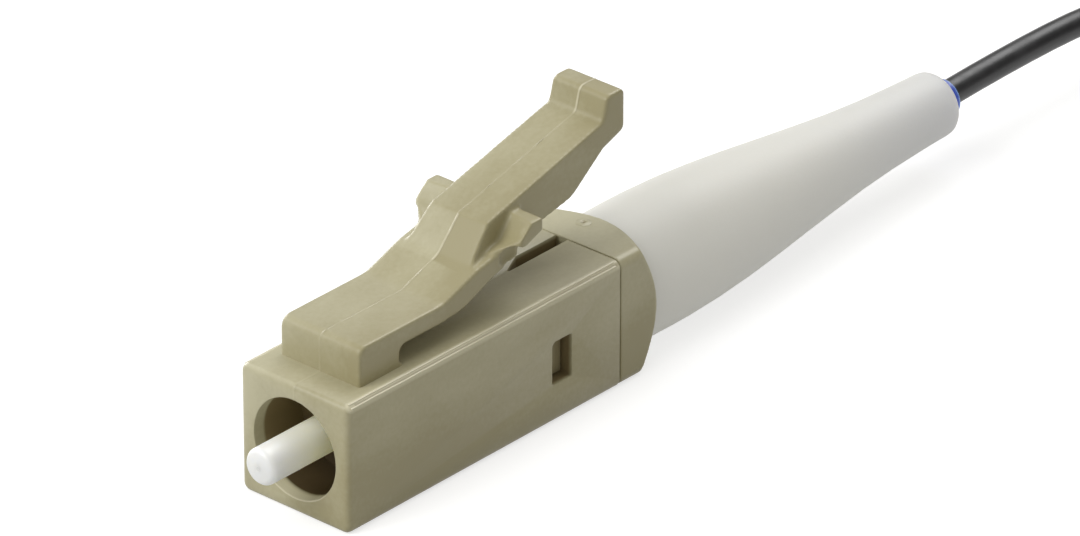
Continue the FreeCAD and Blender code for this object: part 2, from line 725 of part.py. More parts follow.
def main():
    """Makes every piece and writes it out."""
    os.makedirs("parts", exist_ok=True)
    for name, make in PIECES.items():
        shape = make()
        solids = shape.Solids
        print(name, "solids", len(solids), "valid", shape.isValid(), "volume", round(shape.Volume, 4))
        (solids[0] if len(solids) == 1 else shape).exportStep(f"parts/{name}.step")


main()
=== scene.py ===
"""A simplex LC fibre connector with a white boot on a thin black cord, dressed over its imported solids."""

import logging
import math
from collections.abc import Callable, Iterable, Sequence
from dataclasses import dataclass
from enum import Enum

import bmesh
import bpy
from mathutils import Matrix, Vector, noise

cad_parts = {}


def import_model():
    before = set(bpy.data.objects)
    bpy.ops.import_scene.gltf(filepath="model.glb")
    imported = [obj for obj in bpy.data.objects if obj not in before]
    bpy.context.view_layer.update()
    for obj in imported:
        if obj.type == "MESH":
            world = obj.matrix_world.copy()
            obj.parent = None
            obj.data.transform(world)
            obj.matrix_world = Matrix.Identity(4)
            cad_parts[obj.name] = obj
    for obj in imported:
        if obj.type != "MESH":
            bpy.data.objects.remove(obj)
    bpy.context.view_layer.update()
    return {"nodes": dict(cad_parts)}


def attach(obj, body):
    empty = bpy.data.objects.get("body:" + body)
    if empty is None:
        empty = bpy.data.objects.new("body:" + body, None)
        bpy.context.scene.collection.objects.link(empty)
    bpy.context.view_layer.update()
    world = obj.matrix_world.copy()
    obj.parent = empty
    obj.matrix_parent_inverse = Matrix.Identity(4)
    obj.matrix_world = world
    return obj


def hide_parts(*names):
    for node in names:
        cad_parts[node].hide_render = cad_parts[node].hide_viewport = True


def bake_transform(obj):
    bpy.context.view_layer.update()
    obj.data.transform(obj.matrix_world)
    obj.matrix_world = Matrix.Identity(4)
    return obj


LOG = logging.getLogger("lc_connector")
Point = tuple[float, float]
Corner = tuple[float, float, float]
Direction = tuple[float, float, float]
Colour = tuple[float, float, float]
Test = Callable[[Vector], bool]

# metres in a millimetre: forms are made in millimetres, finishes and the studio in metres
MM = 0.001
# less than any real gap between two points of a form, in millimetres
TINY = 1e-4
# how far one tone of a finish takes to give way to the next, in metres
FADE = 0.0001
# the beads' wavering is the same in each run
NOISE_SEED = 7
# the steps of a rounded corner, whatever its radius, and the further ones for each millimetre of it
ARC_STEPS = 3
ARC_STEPS_PER_MM = 4
# a side or end view's (u, v, 0) put upright on the mid-plane or across the axis
SIDE_VIEW = Matrix(((1, 0, 0, 0), (0, 0, 1, 0), (0, 1, 0, 0), (0, 0, 0, 1)))
END_VIEW = Matrix(((0, 0, 1, 0), (1, 0, 0, 0), (0, 1, 0, 0), (0, 0, 0, 1)))


class Body(Enum):
    """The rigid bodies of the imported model."""

    CONNECTOR = "connector"
    LATCH = "latch"
    FERRULE = "ferrule_unit"


class Slot(Enum):
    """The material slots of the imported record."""

    PLASTIC = "beige_plastic"
    ELASTOMER = "white_elastomer"
    CERAMIC = "white_ceramic"
    JACKET = "black_jacket"


def linear(red: int, green: int, blue: int) -> Colour:
    """The scene-linear colour of an 8-bit display colour.

    Args:
        red: Red, 0 to 255.
        green: Green, 0 to 255.
        blue: Blue, 0 to 255.

    Returns:
        The three linear channels.
    """
    shares = (channel / 255 for channel in (red, green, blue))
    return tuple(s / 12.92 if s <= 0.04045 else ((s + 0.055) / 1.055) ** 2.4 for s in shares)


# ---------------------------------------------------------------- shader building
class Shader:
    """The node tree of one material or world, in which one method makes every kind of node."""

    def __init__(self, tree: bpy.types.NodeTree) -> None:
        """Starts from an empty tree."""
        self.tree = tree
        tree.nodes.clear()

    def node(self, kind: str, settings: dict | None = None, inputs: dict | None = None) -> bpy.types.Node:
        """Makes one node.

        Args:
            kind: The node's type.
            settings: Its properties, set first.
            inputs: The values or links of its sockets, by name or number.

        Returns:
            The new node.
        """
        made = self.tree.nodes.new(kind)
        for name, value in (settings or {}).items():
            setattr(made, name, value)
        for name, value in (inputs or {}).items():
            self._feed(made.inputs[name], value)
        return made

    def _feed(self, socket: bpy.types.NodeSocket, value: object) -> None:
        """Links a socket to a value's output, or sets its constant.

        Args:
            socket: The input.
            value: A value, an output socket, or a constant of the input's own kind.
        """
        source = value.socket if isinstance(value, Value) else value
        if isinstance(source, bpy.types.NodeSocket):
            self.tree.links.new(source, socket)
        elif socket.type == "RGBA":
            socket.default_value = (*source, 1.0)
        else:
            socket.default_value = source

    def place(self, stretch: Sequence[float] = (1, 1, 1)) -> bpy.types.NodeSocket:
        """Object coordinates, scaled along each axis."""
        found = self.node("ShaderNodeTexCoord").outputs["Object"]
        return self.node("ShaderNodeMapping", None, {"Vector": found, "Scale": stretch}).outputs["Vector"]

    def axes(self) -> list["Value"]:
        """The three object coordinates of the point that is shaded, in metres."""
        parts = self.node("ShaderNodeSeparateXYZ", None, {"Vector": self.place()})
        return [Value(self, parts.outputs[axis]) for axis in "XYZ"]

    def noise(self, where: bpy.types.NodeSocket, size: float, detail: float) -> "Value":
        """A noise field, centred near one half.

        Args:
            where: The coordinates it reads.
            size: The size of its features, in metres.
            detail: How many finer octaves it holds.

        Returns:
            Its value.
        """
        inputs = {"Vector": where, "Scale": 1 / size, "Detail": detail}
        return Value(self, self.node("ShaderNodeTexNoise", None, inputs).outputs["Fac"])

    def mix(self, share: "Value | float", first: object, second: object) -> bpy.types.NodeSocket:
        """A colour part way from the first to the second."""
        inputs = {0: share, 6: first, 7: second}
        return self.node("ShaderNodeMix", {"data_type": "RGBA"}, inputs).outputs[2]

    def bump(self, height: "Value", depth: float) -> bpy.types.NodeSocket:
        """A normal bent by a height field whose full range is a depth in metres."""
        inputs = {"Strength": 1.0, "Distance": depth, "Height": height}
        return self.node("ShaderNodeBump", None, inputs).outputs["Normal"]

    def surface(self, inputs: dict) -> None:
        """Makes the principled shader and the output that it feeds."""
        shader = self.node("ShaderNodeBsdfPrincipled", None, inputs)
        self.node("ShaderNodeOutputMaterial", None, {"Surface": shader.outputs["BSDF"]})


@dataclass(frozen=True)
class Value:
    """A number that varies over a surface, on which Python's operators add Math nodes."""

    shader: Shader
    socket: bpy.types.NodeSocket

    def _math(self, operation: str, first: object, second: object) -> "Value":
        """One Math node over two operands."""
        made = self.shader.node("ShaderNodeMath", {"operation": operation}, {0: first, 1: second})
        return Value(self.shader, made.outputs[0])

    def __add__(self, other: "Value | float") -> "Value":
        """The sum."""
        return self._math("ADD", self, other)

    def __radd__(self, other: float) -> "Value":
        """The sum, with the number first."""
        return self._math("ADD", other, self)

    def __sub__(self, other: "Value | float") -> "Value":
        """The difference."""
        return self._math("SUBTRACT", self, other)

    def __rsub__(self, other: float) -> "Value":
        """The difference, with the number first."""
        return self._math("SUBTRACT", other, self)

    def __mul__(self, other: "Value | float") -> "Value":
        """The product."""
        return self._math("MULTIPLY", self, other)

    def __rmul__(self, other: float) -> "Value":
        """The product, with the number first."""
        return self._math("MULTIPLY", other, self)

    def __abs__(self) -> "Value":
        """The size without its sign."""
        return self.at_least(self * -1)

    def at_most(self, other: "Value | float") -> "Value":
        """The smaller of the two."""
        return self._math("MINIMUM", self, other)

    def at_least(self, other: "Value | float") -> "Value":
        """The larger of the two."""
        return self._math("MAXIMUM", self, other)

    def clamped(self) -> "Value":
        """The value kept from 0 to 1."""
        return self.at_least(0).at_most(1)

    def rise(self, low: float, high: float) -> "Value":
        """How far the value has risen from one level to another, from 0 to 1."""
        return ((self - low) * (1 / (high - low))).clamped()

    def past(self, edge: float, fade: float = FADE) -> "Value":
        """0 up to an edge, and 1 a little way past it."""
        return self.rise(edge, edge + fade)


# ---------------------------------------------------------------- finishes
@dataclass(frozen=True)
class Finish:
    """A surface finish: one named material, made the first time that a piece asks for it."""

    name: str
    light: Colour
    dark: Colour

    def material(self) -> bpy.types.Material:
        """The material, made once and shared.

        Returns:
            The material.
        """
        found = bpy.data.materials.get(self.name)
        if found:
            return found
        made = bpy.data.materials.new(self.name)
        made.use_nodes = True
        self.build(Shader(made.node_tree))
        return made

    def build(self, shader: Shader) -> None:
        """Fills the material's tree; each finish has its own way."""
        raise NotImplementedError


@dataclass(frozen=True)
class MouldedPlastic(Finish):
    """Filled engineering plastic out of a fine-spark mould: satin, faintly mottled."""

    # painted light and shade: how far the colour leans lighter per metre to the left and upwards
    painted_light_lean: Point
    roughness: float = 0.38
    gloss_spread: float = 0.16
    specular: float = 0.36
    flow_stretch: float = 0.35
    mottling: float = 1.2
    mottle_size: float = 0.0016
    swirl_size: float = 0.00048
    speckle: float = 0.4
    grain_size: float = 0.00016
    grain_depth: float = 0.000002

    def tone(self, shader: Shader, share: Value) -> bpy.types.NodeSocket:
        """The skin's colour, with painted light and shade: lighter to the left and upwards by as much as the
        finish leans.

        Args:
            shader: The tree that it is made in.
            share: How far the mottling takes each point towards the lighter tone.

        Returns:
            The colour.
        """
        _, y, z = shader.axes()
        # painted light and shade: lighter towards the left and upwards, darker towards the right and
        # downwards
        painted_light_share = share + y * self.painted_light_lean[0] + z * self.painted_light_lean[1]
        return shader.mix(painted_light_share.clamped(), self.dark, self.light)

    def build(self, shader: Shader) -> None:
        """Mottled colour, uneven gloss and a fine mould grain.

        Args:
            shader: The tree that it fills.
        """
        where = shader.place()
        flow = shader.noise(shader.place(stretch=(self.flow_stretch, 1, 1)), self.mottle_size, detail=3)
        grain = shader.noise(where, self.grain_size, detail=2)
        swirl = shader.noise(where, self.swirl_size, detail=2)
        share = (flow - 0.5) * self.mottling + (grain - 0.5) * self.speckle + 0.5
        shader.surface(
            {
                "Base Color": self.tone(shader, share),
                "Roughness": self.roughness + (swirl - 0.5) * self.gloss_spread,
                "Normal": shader.bump(grain + swirl, self.grain_depth),
                "Specular IOR Level": self.specular,
            }
        )


@dataclass(frozen=True)
class PartedPlastic(MouldedPlastic):
    """The same plastic with a painted highlight, a thin pale line, along the mould's parting plane down
    its middle, and a painted shadow just to its right.

    The line is plain on the latch's step and tab, and faint elsewhere. On the step, painted light makes
    the half to its left lighter and painted shade makes the half to its right darker.
    """

    # painted highlight of the parting line, and the painted shadow beside it
    painted_highlight: Colour = linear(214, 208, 180)
    painted_highlight_strength: float = 0.75
    shade: Colour = linear(150, 142, 112)
    shade_strength: float = 0.7
    line_width: float = 0.00005
    line_shift: float = 0.00001
    waver: float = 0.00006
    waver_size: float = 0.0011
    gaps: Point = (0.25, 0.55)
    faint: float = 0.18
    least_z: float = 0.0017
    latch_z: float = 0.003
    step_from: float = 0.0063
    step_to: float = 0.0075
    tab_from: float = 0.0129
    # painted light on the step's left half and painted shade on its right half
    halves_painted_light: float = 0.7
    right_half_shade: float = 0.5
    halves_fade: float = 0.00004

    def tone(self, shader: Shader, share: Value) -> bpy.types.NodeSocket:
        """The colour with a painted highlight as a thin pale line, a painted shadow on its right, and painted
        light and shade on the step's halves.

        Args:
            shader: The tree that it is made in.
            share: How far the mottling takes each point towards the lighter tone.

        Returns:
            The colour.
        """
        x, y, z = shader.axes()
        on_step = (x.past(self.step_from) - x.past(self.step_to)) * z.past(self.latch_z)
        steep = on_step.at_least(x.past(self.tab_from, 2 * FADE))
        along = shader.noise(shader.place(stretch=(1, 0, 0.6)), self.waver_size, detail=3)
        offset = y + (along - 0.5) * self.waver
        strength = z.past(self.least_z) * along.rise(*self.gaps) * (self.faint + steep * (1 - self.faint))
        # painted light and shade on the step: its left half lighter, its right half darker
        halves = on_step * (offset.past(0, self.halves_fade) * self.halves_painted_light - self.right_half_shade)
        width = self.line_width
        # painted highlight along the parting line, and a painted shadow just to its right
        line = (1 - abs(offset - self.line_shift).rise(width * 0.4, width)) * strength
        shadow = (1 - abs(offset + width).rise(width * 0.2, width * 0.8)) * strength
        shaded = shader.mix(shadow * self.shade_strength, super().tone(shader, share + halves), self.shade)
        return shader.mix(line * self.painted_highlight_strength, shaded, self.painted_highlight)


@dataclass(frozen=True)
class HollowPlastic(PartedPlastic):
    """The same again for the hollow housing, with painted shade in its bores, windows and slot, painted
    highlights along its top edges and a painted lit crescent low in the mouth.
    """

    # painted shade in the bores, windows and slot: its colours, and the depths where it begins and is full
    deep_shade: Colour = linear(128, 113, 80)
    deepest_shade: Colour = linear(78, 65, 44)
    half_side: float = 0.00225
    rim: float = 0.00004
    dark_depth: float = 0.00016
    upper_left: Point = (-0.0006, 0.0014)
    window_from: float = 0.0088
    edges_from: float = 0.00422
    edges_fade: float = 0.00008
    # strength of the painted highlight along the rounded top edges
    edge_highlight_strength: float = 0.8
    lip: float = 0.00036
    lip_r: float = 0.00174
    lip_fade: float = 0.00002
    # painted light: a lit crescent low in the mouth's wall
    lit_lip_to: float = 0.0003
    lit_lip_low: Point = (0.001, 0.0015)
    lit_strength: float = 0.8

    def tone(self, shader: Shader, share: Value) -> bpy.types.NodeSocket:
        """The colour with painted highlights along the top edges, painted shade in the depths and a painted
        lit crescent low in the mouth.

        Args:
            shader: The tree that it is made in.
            share: How far the mottling takes each point towards the lighter tone.

        Returns:
            The colour.
        """
        x, y, z = shader.axes()
        # painted highlight along the rounded top edges
        painted_edge_highlight = (abs(y) + z).past(self.edges_from, self.edges_fade)
        skin = shader.mix(painted_edge_highlight * self.edge_highlight_strength, super().tone(shader, share), self.painted_highlight)
        # painted shade, darker with depth below the skin, lighter to the upper left and in the windows
        reach = abs(y).at_least(abs(z))
        depth = (self.half_side - reach).at_most(x - self.lip)
        inside = 1 - z.past(self.half_side)
        shallow = (y + z).rise(*self.upper_left).at_least(x.past(self.window_from))
        hollow = shader.mix(shallow, self.deepest_shade, self.deep_shade)
        whole = shader.mix(depth.rise(self.rim, self.dark_depth) * inside, skin, hollow)
        # painted light: a lit crescent low in the mouth's wall
        off_axis = (y * y + z * z).rise(self.lip_r**2, (self.lip_r + self.lip_fade) ** 2)
        in_lip = (1 - off_axis) * (1 - x.past(self.lit_lip_to, 2 * FADE))
        return shader.mix(in_lip * (z * -1).rise(*self.lit_lip_low) * self.lit_strength, whole, self.painted_highlight)


@dataclass(frozen=True)
class SunkPlastic(MouldedPlastic):
    """The same again for the rear body, whose nose inside the housing gets painted shade."""

    # painted shade inside the housing and in the gate's dimple
    deep_shade: Colour = linear(146, 136, 104)
    # painted highlight on the rear rim, and its strength
    painted_edge_highlight: Colour = linear(208, 202, 170)
    edge_highlight_strength: float = 0.5
    shows_from: float = 0.0127
    rim_from: float = 0.01429
    gate_at: Point = (0.01385, 0.00035)
    gate_r: float = 0.00007
    gate_z: float = 0.0021

    def tone(self, shader: Shader, share: Value) -> bpy.types.NodeSocket:
        """The colour with a painted highlight on the rear rim, and painted shade inside the housing and in
        the gate's dimple.

        Args:
            shader: The tree that it is made in.
            share: How far the mottling takes each point towards the lighter tone.

        Returns:
            The colour.
        """
        x, y, z = shader.axes()
        # painted highlight on the rear rim
        rim = x.past(self.rim_from)
        skin = shader.mix(rim * self.edge_highlight_strength, super().tone(shader, share), self.painted_edge_highlight)
        # painted shade in the gate's dimple and on all that lies inside the housing
        reach = abs(x - self.gate_at[0]).at_least(abs(y - self.gate_at[1]))
        outside_gate = reach.rise(self.gate_r * 0.5, self.gate_r * 1.5).at_least(1 - z.past(self.gate_z))
        shows = x.past(self.shows_from - FADE) * outside_gate
        return shader.mix(shows, self.deep_shade, skin)


@dataclass(frozen=True)
class Elastomer(Finish):
    """Soft thermoplastic rubber: matt, with a bloom and faint flow marks along it.

    A faint even glow, painted light, stands in for the light that scatters through its whole wall.
    """

    roughness: float = 0.58
    gloss_spread: float = 0.12
    # strength of the painted glow
    glow: float = 0.22
    translucency: float = 0.6
    scatter: Colour = (0.003, 0.0028, 0.0026)
    bloom_share: float = 0.7
    bloom_size: float = 0.0022
    grain_size: float = 0.00012
    grain_depth: float = 0.0000025

    def build(self, shader: Shader) -> None:
        """Almost even colour with a soft waviness and a skin-like grain.

        Args:
            shader: The tree that it fills.
        """
        where = shader.place()
        bloom = shader.noise(shader.place(stretch=(0.3, 1, 1)), self.bloom_size, detail=2)
        grain = shader.noise(where, self.grain_size, detail=3)
        share = bloom * self.bloom_share + grain * (1 - self.bloom_share)
        colour = shader.mix(share.clamped(), self.dark, self.light)
        shader.surface(
            {
                "Base Color": colour,
                # painted light: the rubber glows in its own colour
                "Emission Color": colour,
                "Emission Strength": self.glow,
                "Roughness": self.roughness + (bloom - 0.5) * self.gloss_spread,
                "Normal": shader.bump(grain + bloom * 2.0, self.grain_depth),
                "Subsurface Weight": self.translucency,
                "Subsurface Radius": self.scatter,
                "Subsurface Scale": 1.0,
            }
        )


@dataclass(frozen=True)
class Zirconia(Finish):
    """Polished white zirconia, a little translucent, with the hairlines of its grinding round it."""

    # painted light: the warm glow that the mouth throws on the ferrule, its strength and where it fades in
    painted_mouth_light: Colour = linear(255, 250, 170)
    glow: float = 0.14
    warm_from: float = -0.0012
    warm_to: float = 0.0002
    roughness: float = 0.42
    gloss_spread: float = 0.14
    cloud_size: float = 0.0006
    hairline_size: float = 0.00004
    hairline_depth: float = 0.0000004
    translucency: float = 0.5
    scatter: Colour = (0.0012, 0.0011, 0.0009)

    def build(self, shader: Shader) -> None:
        """Ground rings round the axis, a glassy white body, and in it a painted warm glow from the light of
        the mouth.

        Args:
            shader: The tree that it fills.
        """
        rings = shader.noise(shader.place(stretch=(1, 0.04, 0.04)), self.hairline_size, detail=2)
        cloud = shader.noise(shader.place(), self.cloud_size, detail=2)
        towards_mouth = shader.axes()[0].rise(self.warm_from, self.warm_to)
        shader.surface(
            {
                "Base Color": shader.mix(cloud, self.dark, self.light),
                # painted light: a warm glow towards the mouth
                "Emission Color": shader.mix(towards_mouth, (0, 0, 0), self.painted_mouth_light),
                "Emission Strength": self.glow,
                "Roughness": self.roughness + (rings - 0.5) * self.gloss_spread,
                "Normal": shader.bump(rings, self.hairline_depth),
                "Subsurface Weight": self.translucency,
                "Subsurface Radius": self.scatter,
                "Subsurface Scale": 1.0,
                "IOR": 1.8,
            }
        )


@dataclass(frozen=True)
class Jacket(Finish):
    """Extruded black cord jacket: glossy, with fine draw lines and a dusting of scuffs."""

    roughness: float = 0.4
    gloss_spread: float = 0.14
    scuff_size: float = 0.0009
    scuff_from: float = 0.45
    scuff_contrast: float = 3.0
    peel_size: float = 0.00022
    peel_depth: float = 0.000004

    def build(self, shader: Shader) -> None:
        """Near-black with scuffed, slightly greyer patches and a fine orange peel.

        Args:
            shader: The tree that it fills.
        """
        where = shader.place()
        scuff = shader.noise(where, self.scuff_size, detail=4)
        peel = shader.noise(where, self.peel_size, detail=2)
        share = ((scuff - self.scuff_from) * self.scuff_contrast).clamped()
        shader.surface(
            {
                "Base Color": shader.mix(share, self.dark, self.light),
                "Roughness": self.roughness + share * self.gloss_spread,
                "Normal": shader.bump(peel + scuff, self.peel_depth),
                "IOR": 1.52,
            }
        )


@dataclass(frozen=True)
class Metal(Finish):
    """Turned or drawn metal with tool marks across its axis."""

    roughness: float = 0.28
    gloss_spread: float = 0.2
    stain_size: float = 0.0008
    mark_size: float = 0.00007
    mark_depth: float = 0.0000008

    def build(self, shader: Shader) -> None:
        """Bright metal whose gloss follows the tool marks, with a faint stain.

        Args:
            shader: The tree that it fills.
        """
        marks = shader.noise(shader.place(stretch=(1, 0.08, 0.08)), self.mark_size, detail=3)
        stain = shader.noise(shader.place(), self.stain_size, detail=2)
        shader.surface(
            {
                "Base Color": shader.mix(stain, self.dark, self.light),
                "Metallic": 1.0,
                "Roughness": self.roughness + (marks - 0.5) * self.gloss_spread,
                "Normal": shader.bump(marks, self.mark_depth),
            }
        )


@dataclass(frozen=True)
class FibreGlass(Finish):
    """Bare silica fibre with its polish haze."""

    polish: float = 0.06
    haze_gloss: float = 0.08
    haze_size: float = 0.00003

    def build(self, shader: Shader) -> None:
        """Pale glassy grey with a faint haze.

        Args:
            shader: The tree that it fills.
        """
        haze = shader.noise(shader.place(), self.haze_size, detail=2)
        shader.surface(
            {
                "Base Color": shader.mix(haze, self.dark, self.light),
                "Roughness": self.polish + haze * self.haze_gloss,
                "Coat Weight": 0.5,
                "IOR": 1.46,
            }
        )


@dataclass(frozen=True)
class StrapWeave(Finish):
    """A narrow woven strap: ribs across it and a soft nap."""

    rib: float = 0.00022
    rib_share: float = 0.6
    band_pitch: float = 0.314
    roughness: float = 0.8
    gloss_spread: float = 0.2
    weave_depth: float = 0.00003

    def build(self, shader: Shader) -> None:
        """Ribbed dark textile with a fuzzy, uneven weave, whose bands repeat at band_pitch at scale 1.

        Args:
            shader: The tree that it fills.
        """
        wave = {"wave_type": "BANDS", "bands_direction": "X"}
        scale = self.band_pitch / self.rib
        inputs = {"Vector": shader.place(), "Scale": scale, "Distortion": 0.6, "Detail": 2.0}
        ribs = Value(shader, shader.node("ShaderNodeTexWave", wave, inputs).outputs["Fac"])
        nap = shader.noise(shader.place(), self.rib * 0.5, detail=3)
        share = ribs * self.rib_share + nap * (1 - self.rib_share)
        shader.surface(
            {
                "Base Color": shader.mix(share, self.dark, self.light),
                "Roughness": self.roughness + (nap - 0.5) * self.gloss_spread,
                "Normal": shader.bump(ribs + nap, self.weave_depth),
            }
        )


BEIGE_LIGHT = linear(191, 186, 156)
BEIGE_DARK = linear(161, 153, 118)
# each plastic's last pair leans its colour per metre to the left and upwards, lighter where positive and
# darker where negative: painted light and shade
BEIGE_SUNK = SunkPlastic("beige plastic of the rear body", BEIGE_LIGHT, BEIGE_DARK, (133.0, 180.0))
BEIGE_PARTED = PartedPlastic("beige plastic of the latch", BEIGE_LIGHT, BEIGE_DARK, (200.0, -40.0))
BEIGE_HOLLOW = HollowPlastic("beige plastic of the housing", BEIGE_LIGHT, BEIGE_DARK, (133.0, 120.0))
WHITE_RUBBER = Elastomer("white boot elastomer", linear(204, 203, 196), linear(199, 198, 191))
CERAMIC = Zirconia("white zirconia", linear(246, 247, 244), linear(240, 241, 237))
BLACK_JACKET = Jacket("black cord jacket", linear(40, 40, 42), linear(20, 20, 22))
BLUE_TUBING = Elastomer("blue guide tubing", linear(52, 78, 200), linear(38, 60, 178), roughness=0.4)
NICKEL_SILVER = Metal("nickel silver", linear(205, 200, 186), linear(188, 182, 166))
SPRING_STEEL = Metal("stainless spring wire", linear(198, 200, 202), linear(176, 178, 181), 0.22)
STRAP_WEAVE = StrapWeave("woven strap", linear(58, 58, 62), linear(28, 28, 31))
SILICA = FibreGlass("silica fibre", linear(238, 238, 236), linear(228, 228, 226))


# ---------------------------------------------------------------- forms in millimetres
class Form:
    """A mesh in the making, in millimetres, that becomes one finished piece in metres."""

    def __init__(self, name: str) -> None:
        """Starts with nothing in it."""
        self.name = name
        self.bm = bmesh.new()

    def _bevel(self, parts: list, affect: str, width: float, segments: int) -> None:
        """Rounds corners or edges.

        Args:
            parts: The vertices or edges.
            affect: Which of the two they are, VERTICES or EDGES.
            width: How far the rounding reaches along the edges or faces beside them.
            segments: How many steps it has.
        """
        bmesh.ops.bevel(
            self.bm,
            geom=parts,
            offset=width,
            offset_type="OFFSET",
            segments=segments,
            profile=0.5,
            affect=affect,
            material=-1,
            clamp_overlap=False,
        )

    def outline(self, corners: Sequence[Corner], place: Matrix) -> bmesh.types.BMFace:
        """Draws a flat face whose corners are rounded.

        Args:
            corners: The corners (u, v, radius) in order.
            place: The matrix that puts (u, v, 0) in space.

        Returns:
            The face.
        """
        verts = [self.bm.verts.new(place @ Vector((u, v, 0))) for u, v, _ in corners]
        face = self.bm.faces.new(verts)
        for i, (u, v, radius) in enumerate(corners):
            if radius <= 0:
                continue
            here = Vector((u, v))
            back = Vector(corners[i - 1][:2]) - here
            ahead = Vector(corners[(i + 1) % len(corners)][:2]) - here
            reach = radius / math.tan(back.angle(ahead) / 2)
            before = set(self.bm.faces)
            self._bevel([verts[i]], "VERTICES", reach, round(ARC_STEPS + ARC_STEPS_PER_MM * radius))
            changed = [f for f in self.bm.faces if f not in before]
            if changed:
                face = changed[0]
        return face

    def extrude(self, face: bmesh.types.BMFace, shift: Sequence[float]) -> list[bmesh.types.BMVert]:
        """Draws a flat face out into a solid.

        Args:
            face: The face.
            shift: How far and which way.

        Returns:
            The vertices of the far end.
        """
        made = bmesh.ops.extrude_face_region(self.bm, geom=[face])
        moved = [g for g in made["geom"] if isinstance(g, bmesh.types.BMVert)]
        bmesh.ops.translate(self.bm, verts=moved, vec=Vector(shift))
        return moved

    def side_prism(self, corners: Sequence[Corner], half_width: float) -> None:
        """Adds a side-view outline drawn out across the mid-plane."""
        place = Matrix.Translation((0, half_width, 0)) @ SIDE_VIEW
        self.extrude(self.outline(corners, place), (0, -2 * half_width, 0))

    def end_prism(self, corners: Sequence[Corner], front: float, rear: float) -> None:
        """Adds an end-view outline drawn out along the axis."""
        place = Matrix.Translation((front, 0, 0)) @ END_VIEW
        self.extrude(self.outline(corners, place), (rear - front, 0, 0))

    def plan_prism(self, corners: Sequence[Corner], low: float, high: float) -> None:
        """Adds a plan-view outline drawn out upwards."""
        place = Matrix.Translation((0, 0, low))
        self.extrude(self.outline(corners, place), (0, 0, high - low))

    def rod(self, radius: float, front: float, rear: float, segments: int = 96) -> None:
        """Adds a round bar along the axis.

        Args:
            radius: Its radius.
            front: Where its front end is.
            rear: Where its rear end is.
            segments: How many flats it has round it.
        """
        place = Matrix.Translation(((front + rear) / 2, 0, 0)) @ Matrix.Rotation(math.pi / 2, 4, "Y")
        bmesh.ops.create_cone(
            self.bm,
            cap_ends=True,
            segments=segments,
            radius1=radius,
            radius2=radius,
            depth=rear - front,
            matrix=place,
        )

    def turned(self, profile: Iterable[Point], steps: int) -> None:
        """Adds a closed shape turned about the axis.

        Args:
            profile: The (x, radius) points of its closed section, in order.
            steps: How many steps the full turn has.
        """
        verts = [self.bm.verts.new((x, 0, radius)) for x, radius in profile]
        edges = [self.bm.edges.new((a, b)) for a, b in zip(verts, verts[1:] + verts[:1], strict=True)]
        bmesh.ops.spin(
            self.bm,
            geom=verts + edges,
            cent=(0, 0, 0),
            axis=(1, 0, 0),
            angle=2 * math.pi,
            steps=steps,
            use_merge=True,
        )
        bmesh.ops.remove_doubles(self.bm, verts=self.bm.verts, dist=TINY)

    def ease(self, width: float, segments: int, angle: float, within: Test | None = None) -> None:
        """Rounds the edges that turn by more than an angle.

        Args:
            width: How far the rounding reaches from each edge.
            segments: How many steps it has.
            angle: The least turn, in degrees, of an edge that is rounded.
            within: A test that an edge's middle passes, or None for every edge.
        """
        limit = math.radians(angle)
        self.bm.normal_update()
        edges = [
            edge
            for edge in self.bm.edges
            if len(edge.link_faces) == 2
            and edge.calc_face_angle(0) > limit
            and (within is None or within((edge.verts[0].co + edge.verts[1].co) / 2))
        ]
        self._bevel(edges, "EDGES", width, segments)

    def absorb(self, other: "Form") -> None:
        """Takes in the shells of another form.

        Args:
            other: The form, which is used up.
        """
        spare = bpy.data.meshes.new("spare")
        bmesh.ops.recalc_face_normals(other.bm, faces=other.bm.faces)
        other.bm.to_mesh(spare)
        other.bm.free()
        self.bm.from_mesh(spare)
        bpy.data.meshes.remove(spare)

    def cut(self, tool: "Form") -> None:
        """Takes the space of another form away."""
        self._boolean(tool, "DIFFERENCE")

    def keep(self, tool: "Form") -> None:
        """Keeps only what lies in another form."""
        self._boolean(tool, "INTERSECT")

    def _boolean(self, tool: "Form", operation: str) -> None:
        """Combines the form with another one.

        Args:
            tool: The other form, which is used up.
            operation: The boolean modifier's operation.
        """
        cutter = tool.as_object("cutter")

        def combine(piece: bpy.types.Object) -> None:
            """Adds the boolean modifier.

            Args:
                piece: The form as an object.
            """
            modifier = piece.modifiers.new("combine", "BOOLEAN")
            modifier.operation = operation
            modifier.solver = "EXACT"
            modifier.object = cutter

        self._through_modifiers(combine)
        bpy.data.objects.remove(cutter)

    def remesh(self, voxel: float, smoothing: int) -> None:
        """Melts overlapping shells into one skin with soft edges and fillets.

        Args:
            voxel: The size of the new faces.
            smoothing: How many times the skin is smoothed.
        """

        def melt_and_soften(piece: bpy.types.Object) -> None:
            """Adds the remesh and smooth modifiers.

            Args:
                piece: The form as an object.
            """
            melt = piece.modifiers.new("melt", "REMESH")
            melt.mode = "VOXEL"
            melt.voxel_size = voxel
            soften = piece.modifiers.new("soften", "SMOOTH")
            soften.factor = 0.5
            soften.iterations = smoothing

        self._through_modifiers(melt_and_soften)

    def _through_modifiers(self, add: Callable[[bpy.types.Object], None]) -> None:
        """Puts the mesh through modifiers and takes the result back.

        Args:
            add: Adds the modifiers to the piece that it is given.
        """
        piece = self.as_object("work")
        add(piece)
        graph = bpy.context.evaluated_depsgraph_get()
        result = bpy.data.meshes.new_from_object(piece.evaluated_get(graph), depsgraph=graph)
        self.bm = bmesh.new()
        self.bm.from_mesh(result)
        bpy.data.objects.remove(piece)
        bpy.data.meshes.remove(result)

